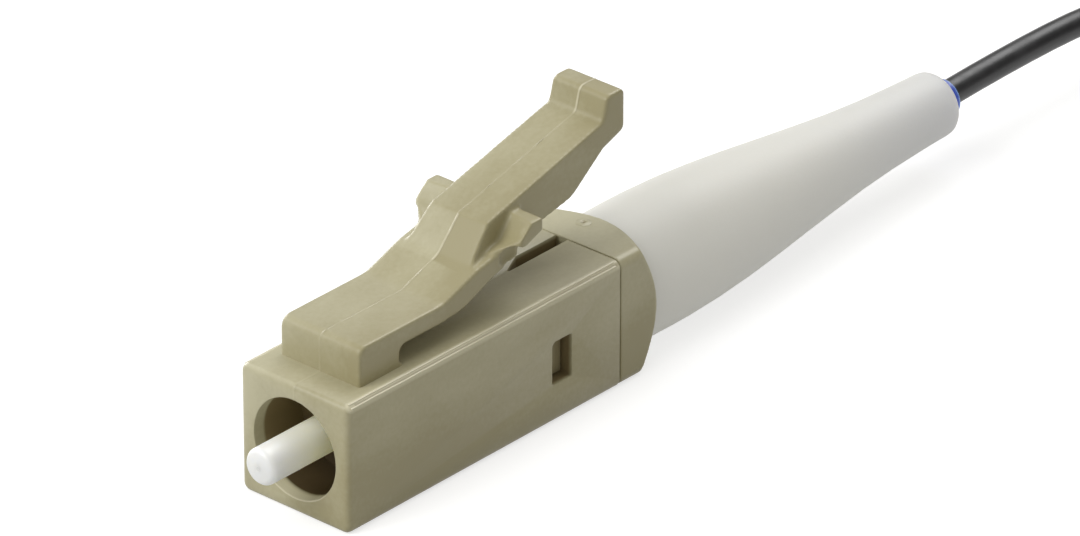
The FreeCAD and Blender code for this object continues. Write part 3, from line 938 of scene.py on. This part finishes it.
    def as_object(self, name: str) -> bpy.types.Object:
        """Writes the mesh to a new object in the scene, and frees it.

        Args:
            name: The object's name.

        Returns:
            The object.
        """
        bmesh.ops.recalc_face_normals(self.bm, faces=self.bm.faces)
        mesh = bpy.data.meshes.new(name)
        self.bm.to_mesh(mesh)
        self.bm.free()
        piece = bpy.data.objects.new(name, mesh)
        bpy.context.scene.collection.objects.link(piece)
        return piece

    def seam(self, width: float, height: float, region: Test, flashes: Sequence[Point] = ()) -> None:
        """Raises the fine ridge that the mould's parting line leaves along the mid-plane.

        Its height wavers, and most of its width lies on its left, as the mould's halves don't quite meet.

        Args:
            width: The ridge's width.
            height: How far its crest stands out.
            region: A test that a face's middle passes where the ridge runs.
            flashes: The places (x, height) of the scraps of mould flashing that stand on it.
        """
        right_share = 0.22
        mean_rise = 0.7
        waver = 0.9
        waves_per_mm = 1.7
        scrap_length = 0.12
        for offset in (-right_share * width, (1 - right_share) * width, 0.0):
            faces = [f for f in self.bm.faces if region(f.calc_center_median())]
            edges = {e for f in faces for e in f.edges}
            verts = {v for f in faces for v in f.verts}
            bmesh.ops.bisect_plane(
                self.bm,
                geom=[*faces, *edges, *verts],
                dist=TINY,
                plane_co=(0, offset, 0),
                plane_no=(0, 1, 0),
            )
        self.bm.normal_update()
        crest = [v for v in self.bm.verts if abs(v.co.y) < 2 * TINY and region(v.co)]
        shifts = []
        for vert in crest:
            rise = height * (mean_rise + waver * noise.noise(vert.co * waves_per_mm))
            rise += sum(peak * math.exp(-(((vert.co.x - x) / scrap_length) ** 2)) for x, peak in flashes)
            shifts.append(vert.normal * rise)
        for vert, shift in zip(crest, shifts, strict=True):
            vert.co += shift

    def bead(self, radius: float, start: Vector, length: float, waver: float) -> None:
        """Adds a hair-thin wavering ridge along the axis, such as a worn mould edge leaves.

        Args:
            radius: The ridge's radius.
            start: Where its centre line starts.
            length: How long it is.
            waver: How far it strays from side to side.
        """
        cuts_per_mm = 8
        waves_per_mm = 1.3
        ridge = Form("bead")
        ridge.rod(radius, start.x, start.x + length, segments=8)
        along = [e for e in ridge.bm.edges if abs(e.verts[0].co.x - e.verts[1].co.x) > length / 2]
        cuts = round(length * cuts_per_mm)
        bmesh.ops.subdivide_edges(ridge.bm, edges=along, cuts=cuts, use_grid_fill=True)
        for vert in ridge.bm.verts:
            stray = noise.noise_vector(Vector((vert.co.x * waves_per_mm, start.y, start.z))) * waver
            vert.co += Vector((0, start.y + stray.y, start.z + stray.z))
        self.absorb(ridge)

    def finished(self, finish: Finish, sharp: float = 35.0) -> bpy.types.Object:
        """Makes the finished piece.

        Args:
            finish: What its surface is.
            sharp: The turn, in degrees, past which an edge stays sharp.

        Returns:
            The piece, in metres, in its place.
        """
        self.bm.transform(Matrix.Scale(MM, 4))
        piece = self.as_object(self.name)
        piece.data.shade_smooth()
        piece.data.set_sharp_from_angle(angle=math.radians(sharp))
        piece.data.materials.append(finish.material())
        LOG.info("%s: %d faces", self.name, len(piece.data.polygons))
        return piece


def rounded_square(side: float, radius: float) -> list[Corner]:
    """The corners of a square about the axis, each with a radius."""
    half = side / 2
    return [(-half, -half, radius), (half, -half, radius), (half, half, radius), (-half, half, radius)]


def ride(piece: bpy.types.Object, body: Body, *nodes: str) -> None:
    """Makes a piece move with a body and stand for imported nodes."""
    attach(piece, body.value)
    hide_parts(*nodes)


# ---------------------------------------------------------------- studio
@dataclass
class Studio:
    """The camera, the floor and the plain soft light.

    A soft lamp's share is the part of a plain white light that it gives to a surface facing it. A sheen
    lights nothing matt: it is only mirrored, as bright as its number.
    """

    camera_at: Direction = (-0.19068, -0.17897, 0.14733)
    looks_along: Direction = (0.6588, 0.5835, -0.4747)
    lens: float = 325.4
    floor_z: float = -0.00225
    floor_size: float = 8.0
    ambient: float = 0.42
    ambient_tint: Colour = (1.0, 0.985, 0.94)
    mirrored: float = 0.3
    floor_albedo: float = 0.52
    floor_glow: float = 0.66
    soft_lamps: Sequence[tuple[Direction, float]] = (((-0.72, 0.27, 0.64), 0.63), ((0.42, 0.0, 0.9), 0.28))
    sheens: Sequence[tuple[Direction, float]] = (((0.66, 0.19, 0.72), 4.5), ((0.1, 0.97, 0.25), 8.0))
    lamp_distance: float = 0.5
    lamp_size: float = 0.36
    lamp_aim: Direction = (0.012, 0, 0)

    def build(self) -> None:
        """Sets up everything that the object is seen by."""
        self.camera()
        self.world()
        self.floor()
        for direction, share in self.soft_lamps:
            self.lamp("soft lamp", direction, math.pi**2 * share * self.lamp_distance**2)
        for direction, brightness in self.sheens:
            sheen = self.lamp("sheen", direction, brightness * (math.pi * self.lamp_size / 2) ** 2)
            sheen.visible_diffuse = False
        bpy.context.scene.view_settings.view_transform = "Standard"
        LOG.info("studio: camera, world, floor and lamps")

    def camera(self) -> None:
        """The camera, a long lens from the front, right and above."""
        data = bpy.data.cameras.new("camera")
        data.lens = self.lens
        data.sensor_width = 36.0
        data.clip_start, data.clip_end = 0.01, 20.0
        camera = bpy.data.objects.new("camera", data)
        camera.location = self.camera_at
        camera.rotation_mode = "QUATERNION"
        camera.rotation_quaternion = Vector(self.looks_along).to_track_quat("-Z", "Y")
        bpy.context.scene.collection.objects.link(camera)
        bpy.context.scene.camera = camera

    def world(self) -> None:
        """A white surround for the eye and through glass, and a softer one for the light and in mirrors."""
        world = bpy.data.worlds.new("studio")
        world.use_nodes = True
        bpy.context.scene.world = world
        shader = Shader(world.node_tree)
        path = shader.node("ShaderNodeLightPath")
        through = Value(shader, path.outputs["Is Transmission Ray"])
        seen = Value(shader, path.outputs["Is Camera Ray"]).at_least(through)
        mirror = Value(shader, path.outputs["Is Glossy Ray"])
        strength = (self.ambient + mirror * (self.mirrored - self.ambient)).at_least(seen)
        colour = shader.mix(seen, self.ambient_tint, (1, 1, 1))
        light = shader.node("ShaderNodeBackground", None, {"Color": colour, "Strength": strength})
        shader.node("ShaderNodeOutputWorld", None, {"Surface": light.outputs[0]})

    def floor(self) -> None:
        """A wide pale floor that shows white and keeps the object's shadow."""
        bm = bmesh.new()
        bmesh.ops.create_grid(bm, x_segments=1, y_segments=1, size=self.floor_size / 2)
        bmesh.ops.translate(bm, verts=bm.verts, vec=(0, 0, self.floor_z))
        mesh = bpy.data.meshes.new("floor")
        bm.to_mesh(mesh)
        bm.free()
        floor = bpy.data.objects.new("floor", mesh)
        bpy.context.scene.collection.objects.link(floor)
        material = bpy.data.materials.new("pale floor")
        material.use_nodes = True
        shader = Shader(material.node_tree)
        path = shader.node("ShaderNodeLightPath")
        mirror = Value(shader, path.outputs["Is Glossy Ray"])
        seen = Value(shader, path.outputs["Is Camera Ray"]).at_least(mirror)
        matt = shader.node("ShaderNodeBsdfDiffuse", None, {"Color": [self.floor_albedo] * 3})
        light = {"Color": (1, 1, 1), "Strength": seen * self.floor_glow}
        glow = shader.node("ShaderNodeEmission", None, light)
        both = shader.node("ShaderNodeAddShader", None, {0: matt.outputs[0], 1: glow.outputs[0]})
        shader.node("ShaderNodeOutputMaterial", None, {"Surface": both.outputs[0]})
        mesh.materials.append(material)

    def lamp(self, name: str, comes_from: Direction, energy: float) -> bpy.types.Object:
        """Adds one large soft lamp.

        Args:
            name: What it is called.
            comes_from: The direction of its light's source.
            energy: Its power, in watts.

        Returns:
            The lamp.
        """
        direction = Vector(comes_from).normalized()
        data = bpy.data.lights.new(name, "AREA")
        data.shape = "DISK"
        data.size = self.lamp_size
        data.energy = energy
        lamp = bpy.data.objects.new(name, data)
        lamp.location = Vector(self.lamp_aim) + direction * self.lamp_distance
        lamp.rotation_mode = "QUATERNION"
        lamp.rotation_quaternion = (-direction).to_track_quat("-Z", "Y")
        lamp.visible_camera = False
        bpy.context.scene.collection.objects.link(lamp)
        return lamp


# ---------------------------------------------------------------- cord
@dataclass
class Cord:
    """The buffered fibre: out of the boot, down to the bench and into its tied hank, in metres."""

    diameter: float = 0.0009
    length: float = 1.0
    hank_front: Point = (0.052, -0.00463)
    hank_run: float = 0.015
    outer_r: float = 0.0045
    hank_low_z: float = -0.0017
    columns: int = 3
    turns_up: int = 6
    crossing_share: float = 0.25
    points_per_end: int = 7
    points_per_run: int = 3

    def route(self) -> list[Vector]:
        """The cord's bends from the boot to the hank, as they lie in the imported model.

        Returns:
            The control points, from the exit on.
        """
        return [
            Vector((0.0300, 0.0, 0.0)),
            Vector((0.0339, 0.0, 0.0002)),
            Vector((0.0400, 0.00005, 0.00005)),
            Vector((0.0450, 0.00025, -0.0013)),
            Vector((0.0485, 0.0, -0.0018)),
            Vector((0.0520, -0.00015, -0.0017)),
        ]

    def oblong_point(self, share: float, radius: float) -> Point:
        """One point of a turn with straight sides and round ends.

        Args:
            share: How far round the turn, from the front of its left side.
            radius: The radius of its ends.

        Returns:
            The point's place in plan.
        """
        front_x, middle_y = self.hank_front
        half_end = math.pi * radius
        along = share % 1 * 2 * (self.hank_run + half_end)
        if along < self.hank_run:
            return front_x + along, middle_y + radius
        along -= self.hank_run
        if along < half_end:
            angle = math.pi / 2 - along / radius
            return front_x + self.hank_run + radius * math.cos(angle), middle_y + radius * math.sin(angle)
        along -= half_end
        if along < self.hank_run:
            return front_x + self.hank_run - along, middle_y - radius
        angle = -math.pi / 2 - (along - self.hank_run) / radius
        return front_x + radius * math.cos(angle), middle_y + radius * math.sin(angle)

    def stops(self, radius: float) -> list[float]:
        """Where the control points of one turn lie, closer round its ends.

        Args:
            radius: The radius of the turn's ends.

        Returns:
            Their places, as shares of the turn.
        """
        half_end = math.pi * radius
        whole = 2 * (self.hank_run + half_end)
        run = [self.hank_run * (i + 0.5) / self.points_per_run for i in range(self.points_per_run)]
        end = [self.hank_run + half_end * (i + 0.5) / self.points_per_end for i in range(self.points_per_end)]
        side = [place / whole for place in run + end]
        return side + [place + 0.5 for place in side]

    def stretches(self) -> list[tuple[float, float, float, int, int]]:
        """The hank's columns of turns, from the outside in, with the crossings from one to the next.

        Returns:
            For each, its turns, its first and last radius, and the levels that it starts and ends on.
        """
        stretches = []
        for column in range(self.columns):
            radius = self.outer_r - column * self.diameter
            low, high = (0, self.turns_up) if column % 2 == 0 else (self.turns_up, 0)
            stretches.append((self.turns_up, radius, radius, low, high))
            if column < self.columns - 1:
                stretches.append((self.crossing_share, radius, radius - self.diameter, high, high))
        return stretches

    def hank(self) -> list[Vector]:
        """The stored turns, whose control points lie a little outside the line round the ends.

        Returns:
            The control points of every turn.
        """
        flare = 1 / (0.75 + 0.25 * math.cos(math.pi / self.points_per_end))
        points = []
        start = 0.0
        for turns, radius, next_radius, low, high in self.stretches():
            end = start + turns
            stops = [lap + stop for lap in range(int(start), int(end) + 1) for stop in self.stops(radius)]
            for stop in stops:
                if not start <= stop < end:
                    continue
                done = (stop - start) / turns
                x, y = self.oblong_point(stop, (radius + (next_radius - radius) * done) * flare)
                level = self.hank_low_z + (low + (high - low) * done) * self.diameter
                points.append(Vector((x, y, level)))
            start = end
        return points

    def build(self) -> None:
        data = bpy.data.curves.new("buffered_fibre_cord", "CURVE")
        data.dimensions = "3D"
        data.bevel_depth = self.diameter / 2
        data.bevel_resolution = 5
        data.resolution_u = 5
        data.use_fill_caps = True
        points = self.route() + self.hank()
        spline = data.splines.new("NURBS")
        spline.points.add(len(points) - 1)
        for point, place in zip(spline.points, points, strict=True):
            point.co = (*place, 1.0)
        spline.order_u = 3
        spline.use_endpoint_u = True
        spline.use_smooth = True
        data.materials.append(BLACK_JACKET.material())
        cord = bpy.data.objects.new("buffered_fibre_cord", data)
        bpy.context.scene.collection.objects.link(cord)
        ride(cord, Body.CONNECTOR, "cord_tube", "cord_hank")
        LOG.info("cord: %d control points", len(points))


# ---------------------------------------------------------------- plug housing
@dataclass
class Housing:
    """The square moulded body with its mouth, bores, snap windows and latch slot."""

    length: float = 12.68
    side: float = 4.5
    edge_r: float = 0.28
    front_ease: float = 0.2
    rear_ease: float = 0.07
    rim_ease: float = 0.05
    mouth_r: float = 1.7
    bore_depth: float = 2.2
    ferrule_hole_r: float = 0.6745
    seat_x: float = 3.05
    pocket_r: float = 1.45
    cavity_front_x: float = 9.2
    cavity_side: float = 3.3
    cavity_corner_r: float = 0.4
    hollow_overlap: float = 0.4
    window_front_x: float = 9.45
    window_length: float = 0.9
    window_height: float = 1.5
    window_drop: float = 0.12
    slot_front_x: float = 9.75
    slot_right_y: float = -0.03
    slot_left_y: float = 0.45
    slot_slant: float = 1.0
    seam_width: float = 0.09
    seam_height: float = 0.014
    seam_rear_x: float = 1.4
    bead_r: float = 0.05
    bead_waver: float = 0.01
    bead_turns: Point = (0.18, 0.37)

    def build(self) -> None:
        """Makes the housing and hollows it."""
        form = Form("plug_body")
        form.end_prism(rounded_square(self.side, self.edge_r), 0, self.length)
        form.ease(self.front_ease, segments=4, angle=60, within=lambda p: p.x < TINY)
        form.ease(self.rear_ease, segments=2, angle=60, within=lambda p: p.x > self.length - TINY)
        for tool in self.hollows():
            form.cut(tool)
        form.ease(self.rim_ease, segments=2, angle=30, within=self.on_a_visible_rim)
        form.seam(self.seam_width, self.seam_height, lambda p: p.z > self.mouth_r and p.x < self.seam_rear_x)
        for side in (-1, 1):
            for turn in self.bead_turns:
                start = self.bead_start(side, turn * math.pi)
                form.bead(self.bead_r, start, self.length - 2 * self.front_ease, self.bead_waver)
        piece = form.finished(BEIGE_HOLLOW)
        ride(piece, Body.CONNECTOR, "plug_housing")

    def bead_start(self, side: int, angle: float) -> Vector:
        """Where a ridge on the rounding of a top edge starts.

        Args:
            side: 1 for the left edge, -1 for the right.
            angle: How far up round the rounding it lies.

        Returns:
            The front end of its centre line.
        """
        middle = self.side / 2 - self.edge_r
        reach = self.edge_r - self.bead_r * 0.5
        y = middle + reach * math.cos(angle)
        return Vector((self.front_ease, side * y, middle + reach * math.sin(angle)))

    def hollows(self) -> list[Form]:
        """The tools that hollow the housing: the bores, the windows and the slot.

        Returns:
            The tools. Those that break out at an end reach past it.
        """
        past = self.length + 1.0
        tools = [Form("hollow") for _ in range(6)]
        mouth, hole, pocket, cavity, windows, slot = tools
        mouth.rod(self.mouth_r, -1.0, self.bore_depth)
        hole.rod(self.ferrule_hole_r, 0, self.seat_x + self.hollow_overlap, segments=64)
        pocket.rod(self.pocket_r, self.seat_x, self.cavity_front_x + self.hollow_overlap)
        cavity.end_prism(rounded_square(self.cavity_side, self.cavity_corner_r), self.cavity_front_x, past)
        sill = -self.window_height / 2 - self.window_drop
        top = sill + self.window_height
        front, rear = self.window_front_x, self.window_front_x + self.window_length
        pane = [(front, sill, 0.1), (rear, sill, 0.06), (rear, top, 0.06), (front, top, 0.16)]
        windows.side_prism(pane, self.side)
        front, right, left = self.slot_front_x, self.slot_right_y, self.slot_left_y
        opening = [
            (front, right, 0.05),
            (past, right, 0),
            (past, left, 0),
            (front + self.slot_slant, left, 0.2),
        ]
        slot.plan_prism(opening, 0, self.side)
        return tools

    def on_a_visible_rim(self, point: Vector) -> bool:
        """Whether an edge lies round the mouth, a window or the slot, where it is seen.

        Args:
            point: The edge's middle.

        Returns:
            Whether it does.
        """
        skin = self.side / 2 - TINY
        margin = 0.1
        in_mouth = point.x < TINY and math.hypot(point.y, point.z) < self.mouth_r + TINY
        on_side = abs(point.y) > skin and abs(point.z) < self.window_height
        by_slot = abs(point.y) < self.slot_left_y + margin and point.x < self.length - margin
        return in_mouth or on_side or (point.z > skin and by_slot)


# ---------------------------------------------------------------- latch
@dataclass
class Latch:
    """The cantilever latch, one moulding from its block to the thumb tab."""

    half_arm: float = 1.65
    step_half_width: float = 1.375
    lever_half_width: float = 1.18
    end_half_width: float = 1.15
    foot_x: float = 6.6
    flare_length: float = 1.35
    flare_steps: int = 6
    rear_x: float = 14.1
    lug_rear_x: float = 9.05
    lug_top_z: float = 5.24
    lug_root_y: float = 1.15
    lug_tip_y: float = 2.21
    dent_r: float = 0.5
    dent_at: Corner = (8.0, 1.97, 4.12)
    hinge_x: float = 3.81
    hinge_z: float = 3.26
    flex_reach: float = 0.6
    voxel: float = 0.055
    first_smoothing: int = 2
    last_smoothing: int = 5
    seam_width: float = 0.1
    seam_height: float = 0.015
    seam_foot_z: float = 1.9
    flashes: Sequence[Point] = ((9.0, 0.02), (11.4, 0.018))

    def arm_outline(self) -> list[Corner]:
        """The block, the flat arm and the rise to its shoulder, in side view.

        Returns:
            The corners (x, z, radius).
        """
        return [
            (1.2, 1.85, 0),
            (1.2, 3.58, 0.3),
            (5.01, 3.58, 1.2),
            (6.6, 4.14, 0.8),
            (8.525, 4.54, 0),
            (8.525, 3.92, 0),
            (7.4, 3.6, 0.8),
            (6.01, 3.04, 1.5),
            (5.01, 2.94, 2.0),
            (3.06, 2.94, 0.25),
            (3.06, 2.235, 0.25),
            (3.5, 2.235, 0),
            (3.5, 1.85, 0),
        ]

    def lever_outline(self) -> list[Corner]:
        """The step, the long thumb face, the upright tab and the curved underside, in side view.

        Returns:
            The corners (x, z, radius).
        """
        return [
            (6.183, 3.69, 0),
            (7.6, 5.22, 0.12),
            (13.05, 6.626, 0.18),
            (13.27, 7.44, 0.22),
            (self.rear_x, 7.44, 0.16),
            (self.rear_x, 6.006, 0.2),
            (13.05, 5.646, 0.6),
            (11.6, 4.566, 0.8),
            (9.05, 4.09, 0),
            (7.6, 3.69, 0),
        ]

    def lug_sections(self) -> tuple[list[Point], list[Point]]:
        """The root and tip sections of a locking shoulder.

        Returns:
            The points (x, z) of each, counted from the shoulder's rear and top.
        """
        root = [(-1.9, -1.68), (-1.9, -1.0), (-1.05, -0.82), (-0.42, 0.0), (0.0, 0.0), (0.0, -0.95)]
        tip = [(-1.05, -0.8), (-1.05, -0.62), (-1.02, -0.42), (-0.56, 0.0), (0.0, 0.0), (0.0, -0.42)]
        return root, tip

    def half_width(self, x: float) -> float:
        """Half the lever's width at one place along it.

        Args:
            x: The place.

        Returns:
            Half the width there: a flare at the foot, and a slight taper behind it.
        """
        flare_rear = self.foot_x + self.flare_length
        if x < flare_rear:
            share = (flare_rear - x) / self.flare_length
            return self.lever_half_width + (self.step_half_width - self.lever_half_width) * share**1.5
        share = (x - flare_rear) / (self.rear_x - flare_rear)
        return self.lever_half_width + (self.end_half_width - self.lever_half_width) * share

    def lever(self) -> Form:
        """The lever, flared in plan at the foot of its step.

        Returns:
            Its form.
        """
        form = Form("lever")
        form.side_prism(self.lever_outline(), 1.0)
        for i in range(self.flare_steps + 1):
            bmesh.ops.bisect_plane(
                form.bm,
                geom=[*form.bm.verts, *form.bm.edges, *form.bm.faces],
                dist=TINY,
                plane_co=(self.foot_x + self.flare_length * i / self.flare_steps, 0, 0),
                plane_no=(1, 0, 0),
            )
        for vert in form.bm.verts:
            vert.co.y = math.copysign(self.half_width(vert.co.x), vert.co.y)
        return form

    def lug(self, side: int) -> Form:
        """One locking shoulder, from its broad root to its smaller tip.

        Args:
            side: 1 for the left shoulder, -1 for the right.

        Returns:
            Its form.
        """
        form = Form("lug")
        root, tip = self.lug_sections()
        corners = [(self.lug_rear_x + x, self.lug_top_z + z, 0) for x, z in root]
        place = Matrix.Translation((0, side * self.lug_root_y, 0)) @ SIDE_VIEW
        face = form.outline(corners, place)
        ring = list(face.verts)
        far = form.extrude(face, (0, side * (self.lug_tip_y - self.lug_root_y), 0))
        for near, (x, z) in zip(ring, tip, strict=True):
            match = min(far, key=lambda v, n=near: (v.co.xz - n.co.xz).length)
            match.co.x, match.co.z = self.lug_rear_x + x, self.lug_top_z + z
        return form

    def dent(self, side: int) -> Form:
        """The round relief in the arm's side under one locking shoulder.

        Args:
            side: 1 for the left side, -1 for the right.

        Returns:
            The ball that is cut away.
        """
        form = Form("dent")
        x, y, z = self.dent_at
        place = Matrix.Translation((x, side * y, z))
        bmesh.ops.create_uvsphere(form.bm, u_segments=48, v_segments=24, radius=self.dent_r, matrix=place)
        return form

    def build(self) -> None:
        """Makes the latch as one soft-edged moulding."""
        form = Form("latch_moulding")
        form.side_prism(self.arm_outline(), self.half_arm)
        form.absorb(self.lever())
        form.absorb(self.lug(1))
        form.absorb(self.lug(-1))
        form.remesh(self.voxel, self.first_smoothing)
        for side in (-1, 1):
            form.cut(self.dent(side))
        form.remesh(self.voxel, self.last_smoothing)
        form.seam(self.seam_width, self.seam_height, lambda p: p.z > self.seam_foot_z, self.flashes)
        piece = form.finished(BEIGE_PARTED, sharp=60)
        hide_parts("latch_lever")
        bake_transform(piece)


# ---------------------------------------------------------------- ferrule
@dataclass
class Ferrule:
    """The polished ceramic ferrule."""

    radius: float = 0.6245
    front_x: float = -1.65
    rear_x: float = 4.75
    taper_from: float = 2.2
    taper: float = 0.02
    bore_r: float = 0.0635
    bore_chamfer: float = 0.02
    tip_r: float = 0.4
    edge_back: float = 0.03
    edge_steps: int = 8

    def profile(self) -> list[Point]:
        """The ferrule's section: bore, slightly domed end, rounded edge and barrel.

        Returns:
            The points (x, radius) in order.
        """
        edge_r = self.radius - self.tip_r
        edge_x = self.front_x + self.edge_back + edge_r
        turns = [math.pi / 2 * i / self.edge_steps for i in range(self.edge_steps + 1)]
        edge = [(edge_x - edge_r * math.cos(turn), self.tip_r + edge_r * math.sin(turn)) for turn in turns]
        return [
            (self.front_x + 0.004, self.bore_r),
            (self.front_x, self.bore_r + self.bore_chamfer),
            (self.front_x + 0.006, self.tip_r * 0.6),
            *edge,
            (self.taper_from, self.radius),
            (self.rear_x, self.radius - self.taper),
            (self.rear_x, self.bore_r),
        ]

    def build(self) -> None:
        """Makes the ferrule, which floats with its holder."""
        form = Form("ceramic_ferrule")
        form.turned(self.profile(), steps=96)
        piece = form.finished(CERAMIC, sharp=50)
        ride(piece, Body.FERRULE, "ferrule")


# ---------------------------------------------------------------- rear body and boot
@dataclass
class RearBody:
    """The rear piece: nose with snap tongues, soft-cornered end flange, gate mark and boot post."""

    side: float = 4.5
    front_x: float = 12.7
    rear_x: float = 14.45
    corner_r: float = 0.3
    end_r: float = 2.2
    cone_slope: float = 1.2
    voxel: float = 0.05
    smoothing: int = 6
    overlap: float = 0.4
    nose_side: float = 3.2
    nose_corner_r: float = 0.4
    nose_front_x: float = 9.2
    post_r: float = 1.3
    post_rear_x: float = 17.65
    tongue_front_x: float = 9.51
    tongue_rear_x: float = 10.29
    tongue_root_y: float = 1.2
    tongue_lead_y: float = 1.62
    tongue_lead: float = 0.12
    tongue_reach: float = 1.83
    tongue_middle_z: float = -0.12
    tongue_half_height: float = 0.69
    tongue_ease: float = 0.03
    gate_x: float = 13.85
    gate_y: float = 0.35
    gate_r: float = 0.16
    gate_height: float = 0.035

    def build(self) -> None:
        """Makes the rear body."""
        form = Form("rear_moulding")
        form.end_prism(rounded_square(self.side, self.corner_r), self.front_x, self.rear_x)
        form.keep(self.envelope())
        form.remesh(self.voxel, self.smoothing)
        nose = Form("nose")
        nose_rear_x = self.front_x + self.overlap
        nose.end_prism(rounded_square(self.nose_side, self.nose_corner_r), self.nose_front_x, nose_rear_x)
        form.absorb(nose)
        post = Form("post")
        post.rod(self.post_r, self.rear_x - self.overlap, self.post_rear_x, segments=48)
        form.absorb(post)
        for side in (-1, 1):
            form.absorb(self.tongue(side))
        form.absorb(self.gate())
        piece = form.finished(BEIGE_SUNK, sharp=60)
        ride(piece, Body.CONNECTOR, "rear_body")

    def envelope(self) -> Form:
        """The cone that the flange's corners are taken down to, towards the round boot.

        Returns:
            Its form.
        """
        form = Form("envelope")
        front_x = self.rear_x - (self.side - self.end_r) / self.cone_slope
        profile = [(front_x, 0), (front_x, self.side), (self.rear_x, self.end_r), (self.rear_x, 0)]
        form.turned(profile, steps=128)
        return form

    def tongue(self, side: int) -> Form:
        """One snap wedge that stands in its window in the housing.

        Args:
            side: 1 for the left wedge, -1 for the right.

        Returns:
            Its form.
        """
        form = Form("tongue")
        front, rear = self.tongue_front_x, self.tongue_rear_x
        wedge = [
            (front, side * self.tongue_root_y, 0),
            (front, side * self.tongue_lead_y, 0),
            (front + self.tongue_lead, side * self.tongue_reach, 0),
            (rear, side * self.tongue_reach, 0),
            (rear, side * self.tongue_root_y, 0),
        ]
        middle, half = self.tongue_middle_z, self.tongue_half_height
        form.plan_prism(wedge, middle - half, middle + half)
        form.ease(self.tongue_ease, segments=2, angle=30)
        return form

    def gate(self) -> Form:
        """The trimmed pip that the moulding gate leaves on top of the flange: a low ring with a dimple.

        Returns:
            Its form.
        """
        form = Form("gate")
        top = self.side / 2
        crest = top + self.gate_height
        profile = [
            (top - 0.1, 0.0),
            (top - 0.1, 0.28),
            (top + 0.008, 0.26),
            (crest - 0.015, self.gate_r + 0.03),
            (crest, self.gate_r),
            (crest - 0.012, self.gate_r * 0.6),
            (top + 0.004, self.gate_r * 0.3),
            (top + 0.002, 0.0),
        ]
        form.turned(profile, steps=32)
        turn = Matrix.Translation((self.gate_x, self.gate_y, 0)) @ Matrix.Rotation(-math.pi / 2, 4, "Y")
        form.bm.transform(turn)
        return form


@dataclass
class Boot:
    """The smooth waisted strain relief, turned in soft white rubber."""

    base_x: float = 14.45
    end_x: float = 30.9
    bore_r: float = 0.675
    socket_r: float = 1.445
    socket_rear_x: float = 17.675

    def skin(self) -> list[Point]:
        """The outline from the base over the waist and neck to the rolled mouth.

        Returns:
            The points (x, radius) in order.
        """
        return [
            (self.base_x, 2.21),
            (15.1, 2.24),
            (16.0, 2.248),
            (16.9, 2.24),
            (18.4, 2.18),
            (19.9, 2.065),
            (21.4, 1.91),
            (23.0, 1.72),
            (24.6, 1.54),
            (26.2, 1.37),
            (27.8, 1.25),
            (29.4, 1.175),
            (30.3, 1.145),
            (30.6, 1.14),
            (30.79, 1.12),
            (30.875, 1.07),
            (self.end_x, 1.0),
        ]

    def hollow(self) -> list[Point]:
        """The flared mouth, the bore round the cord and the socket for the post.

        Returns:
            The points (x, radius), from the mouth to the base.
        """
        return [
            (self.end_x, self.bore_r + 0.14),
            (self.end_x - 0.04, self.bore_r + 0.05),
            (self.end_x - 0.14, self.bore_r),
            (self.socket_rear_x, self.bore_r),
            (self.socket_rear_x, self.socket_r),
            (self.base_x, self.socket_r),
        ]

    def build(self) -> None:
        """Makes the boot with its hollow socket and mouth."""
        form = Form("strain_relief_boot")
        form.turned(self.skin() + self.hollow(), steps=96)
        piece = form.finished(WHITE_RUBBER, sharp=40)
        ride(piece, Body.CONNECTOR, "boot")


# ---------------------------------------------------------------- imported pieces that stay
@dataclass
class PackedPieces:
    """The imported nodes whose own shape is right, each given its finish."""

    nodes: dict[str, bpy.types.Object]

    def build(self) -> None:
        """Gives each node its finish."""
        finishes: dict[str, Finish] = {
            "ferrule_holder": NICKEL_SILVER,
            "compression_spring": SPRING_STEEL,
            "glass_fibre": SILICA,
            "guide_tube": BLUE_TUBING,
            "cord_core": BLACK_JACKET,
            "hank_tie": STRAP_WEAVE,
        }
        for name, finish in finishes.items():
            node = self.nodes[name]
            node.data.materials.clear()
            node.data.materials.append(finish.material())
            LOG.info("%s: finished", name)


def main() -> None:
    """Builds the studio and every sub-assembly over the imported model."""
    logging.basicConfig(level=logging.INFO, format="%(name)s %(message)s")
    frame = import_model()
    noise.seed_set(NOISE_SEED)
    Studio().build()
    Cord().build()
    PackedPieces(frame["nodes"]).build()
    for assembly in (Housing(), Latch(), Ferrule(), RearBody(), Boot()):
        assembly.build()


if __name__ == "__main__":
    main()
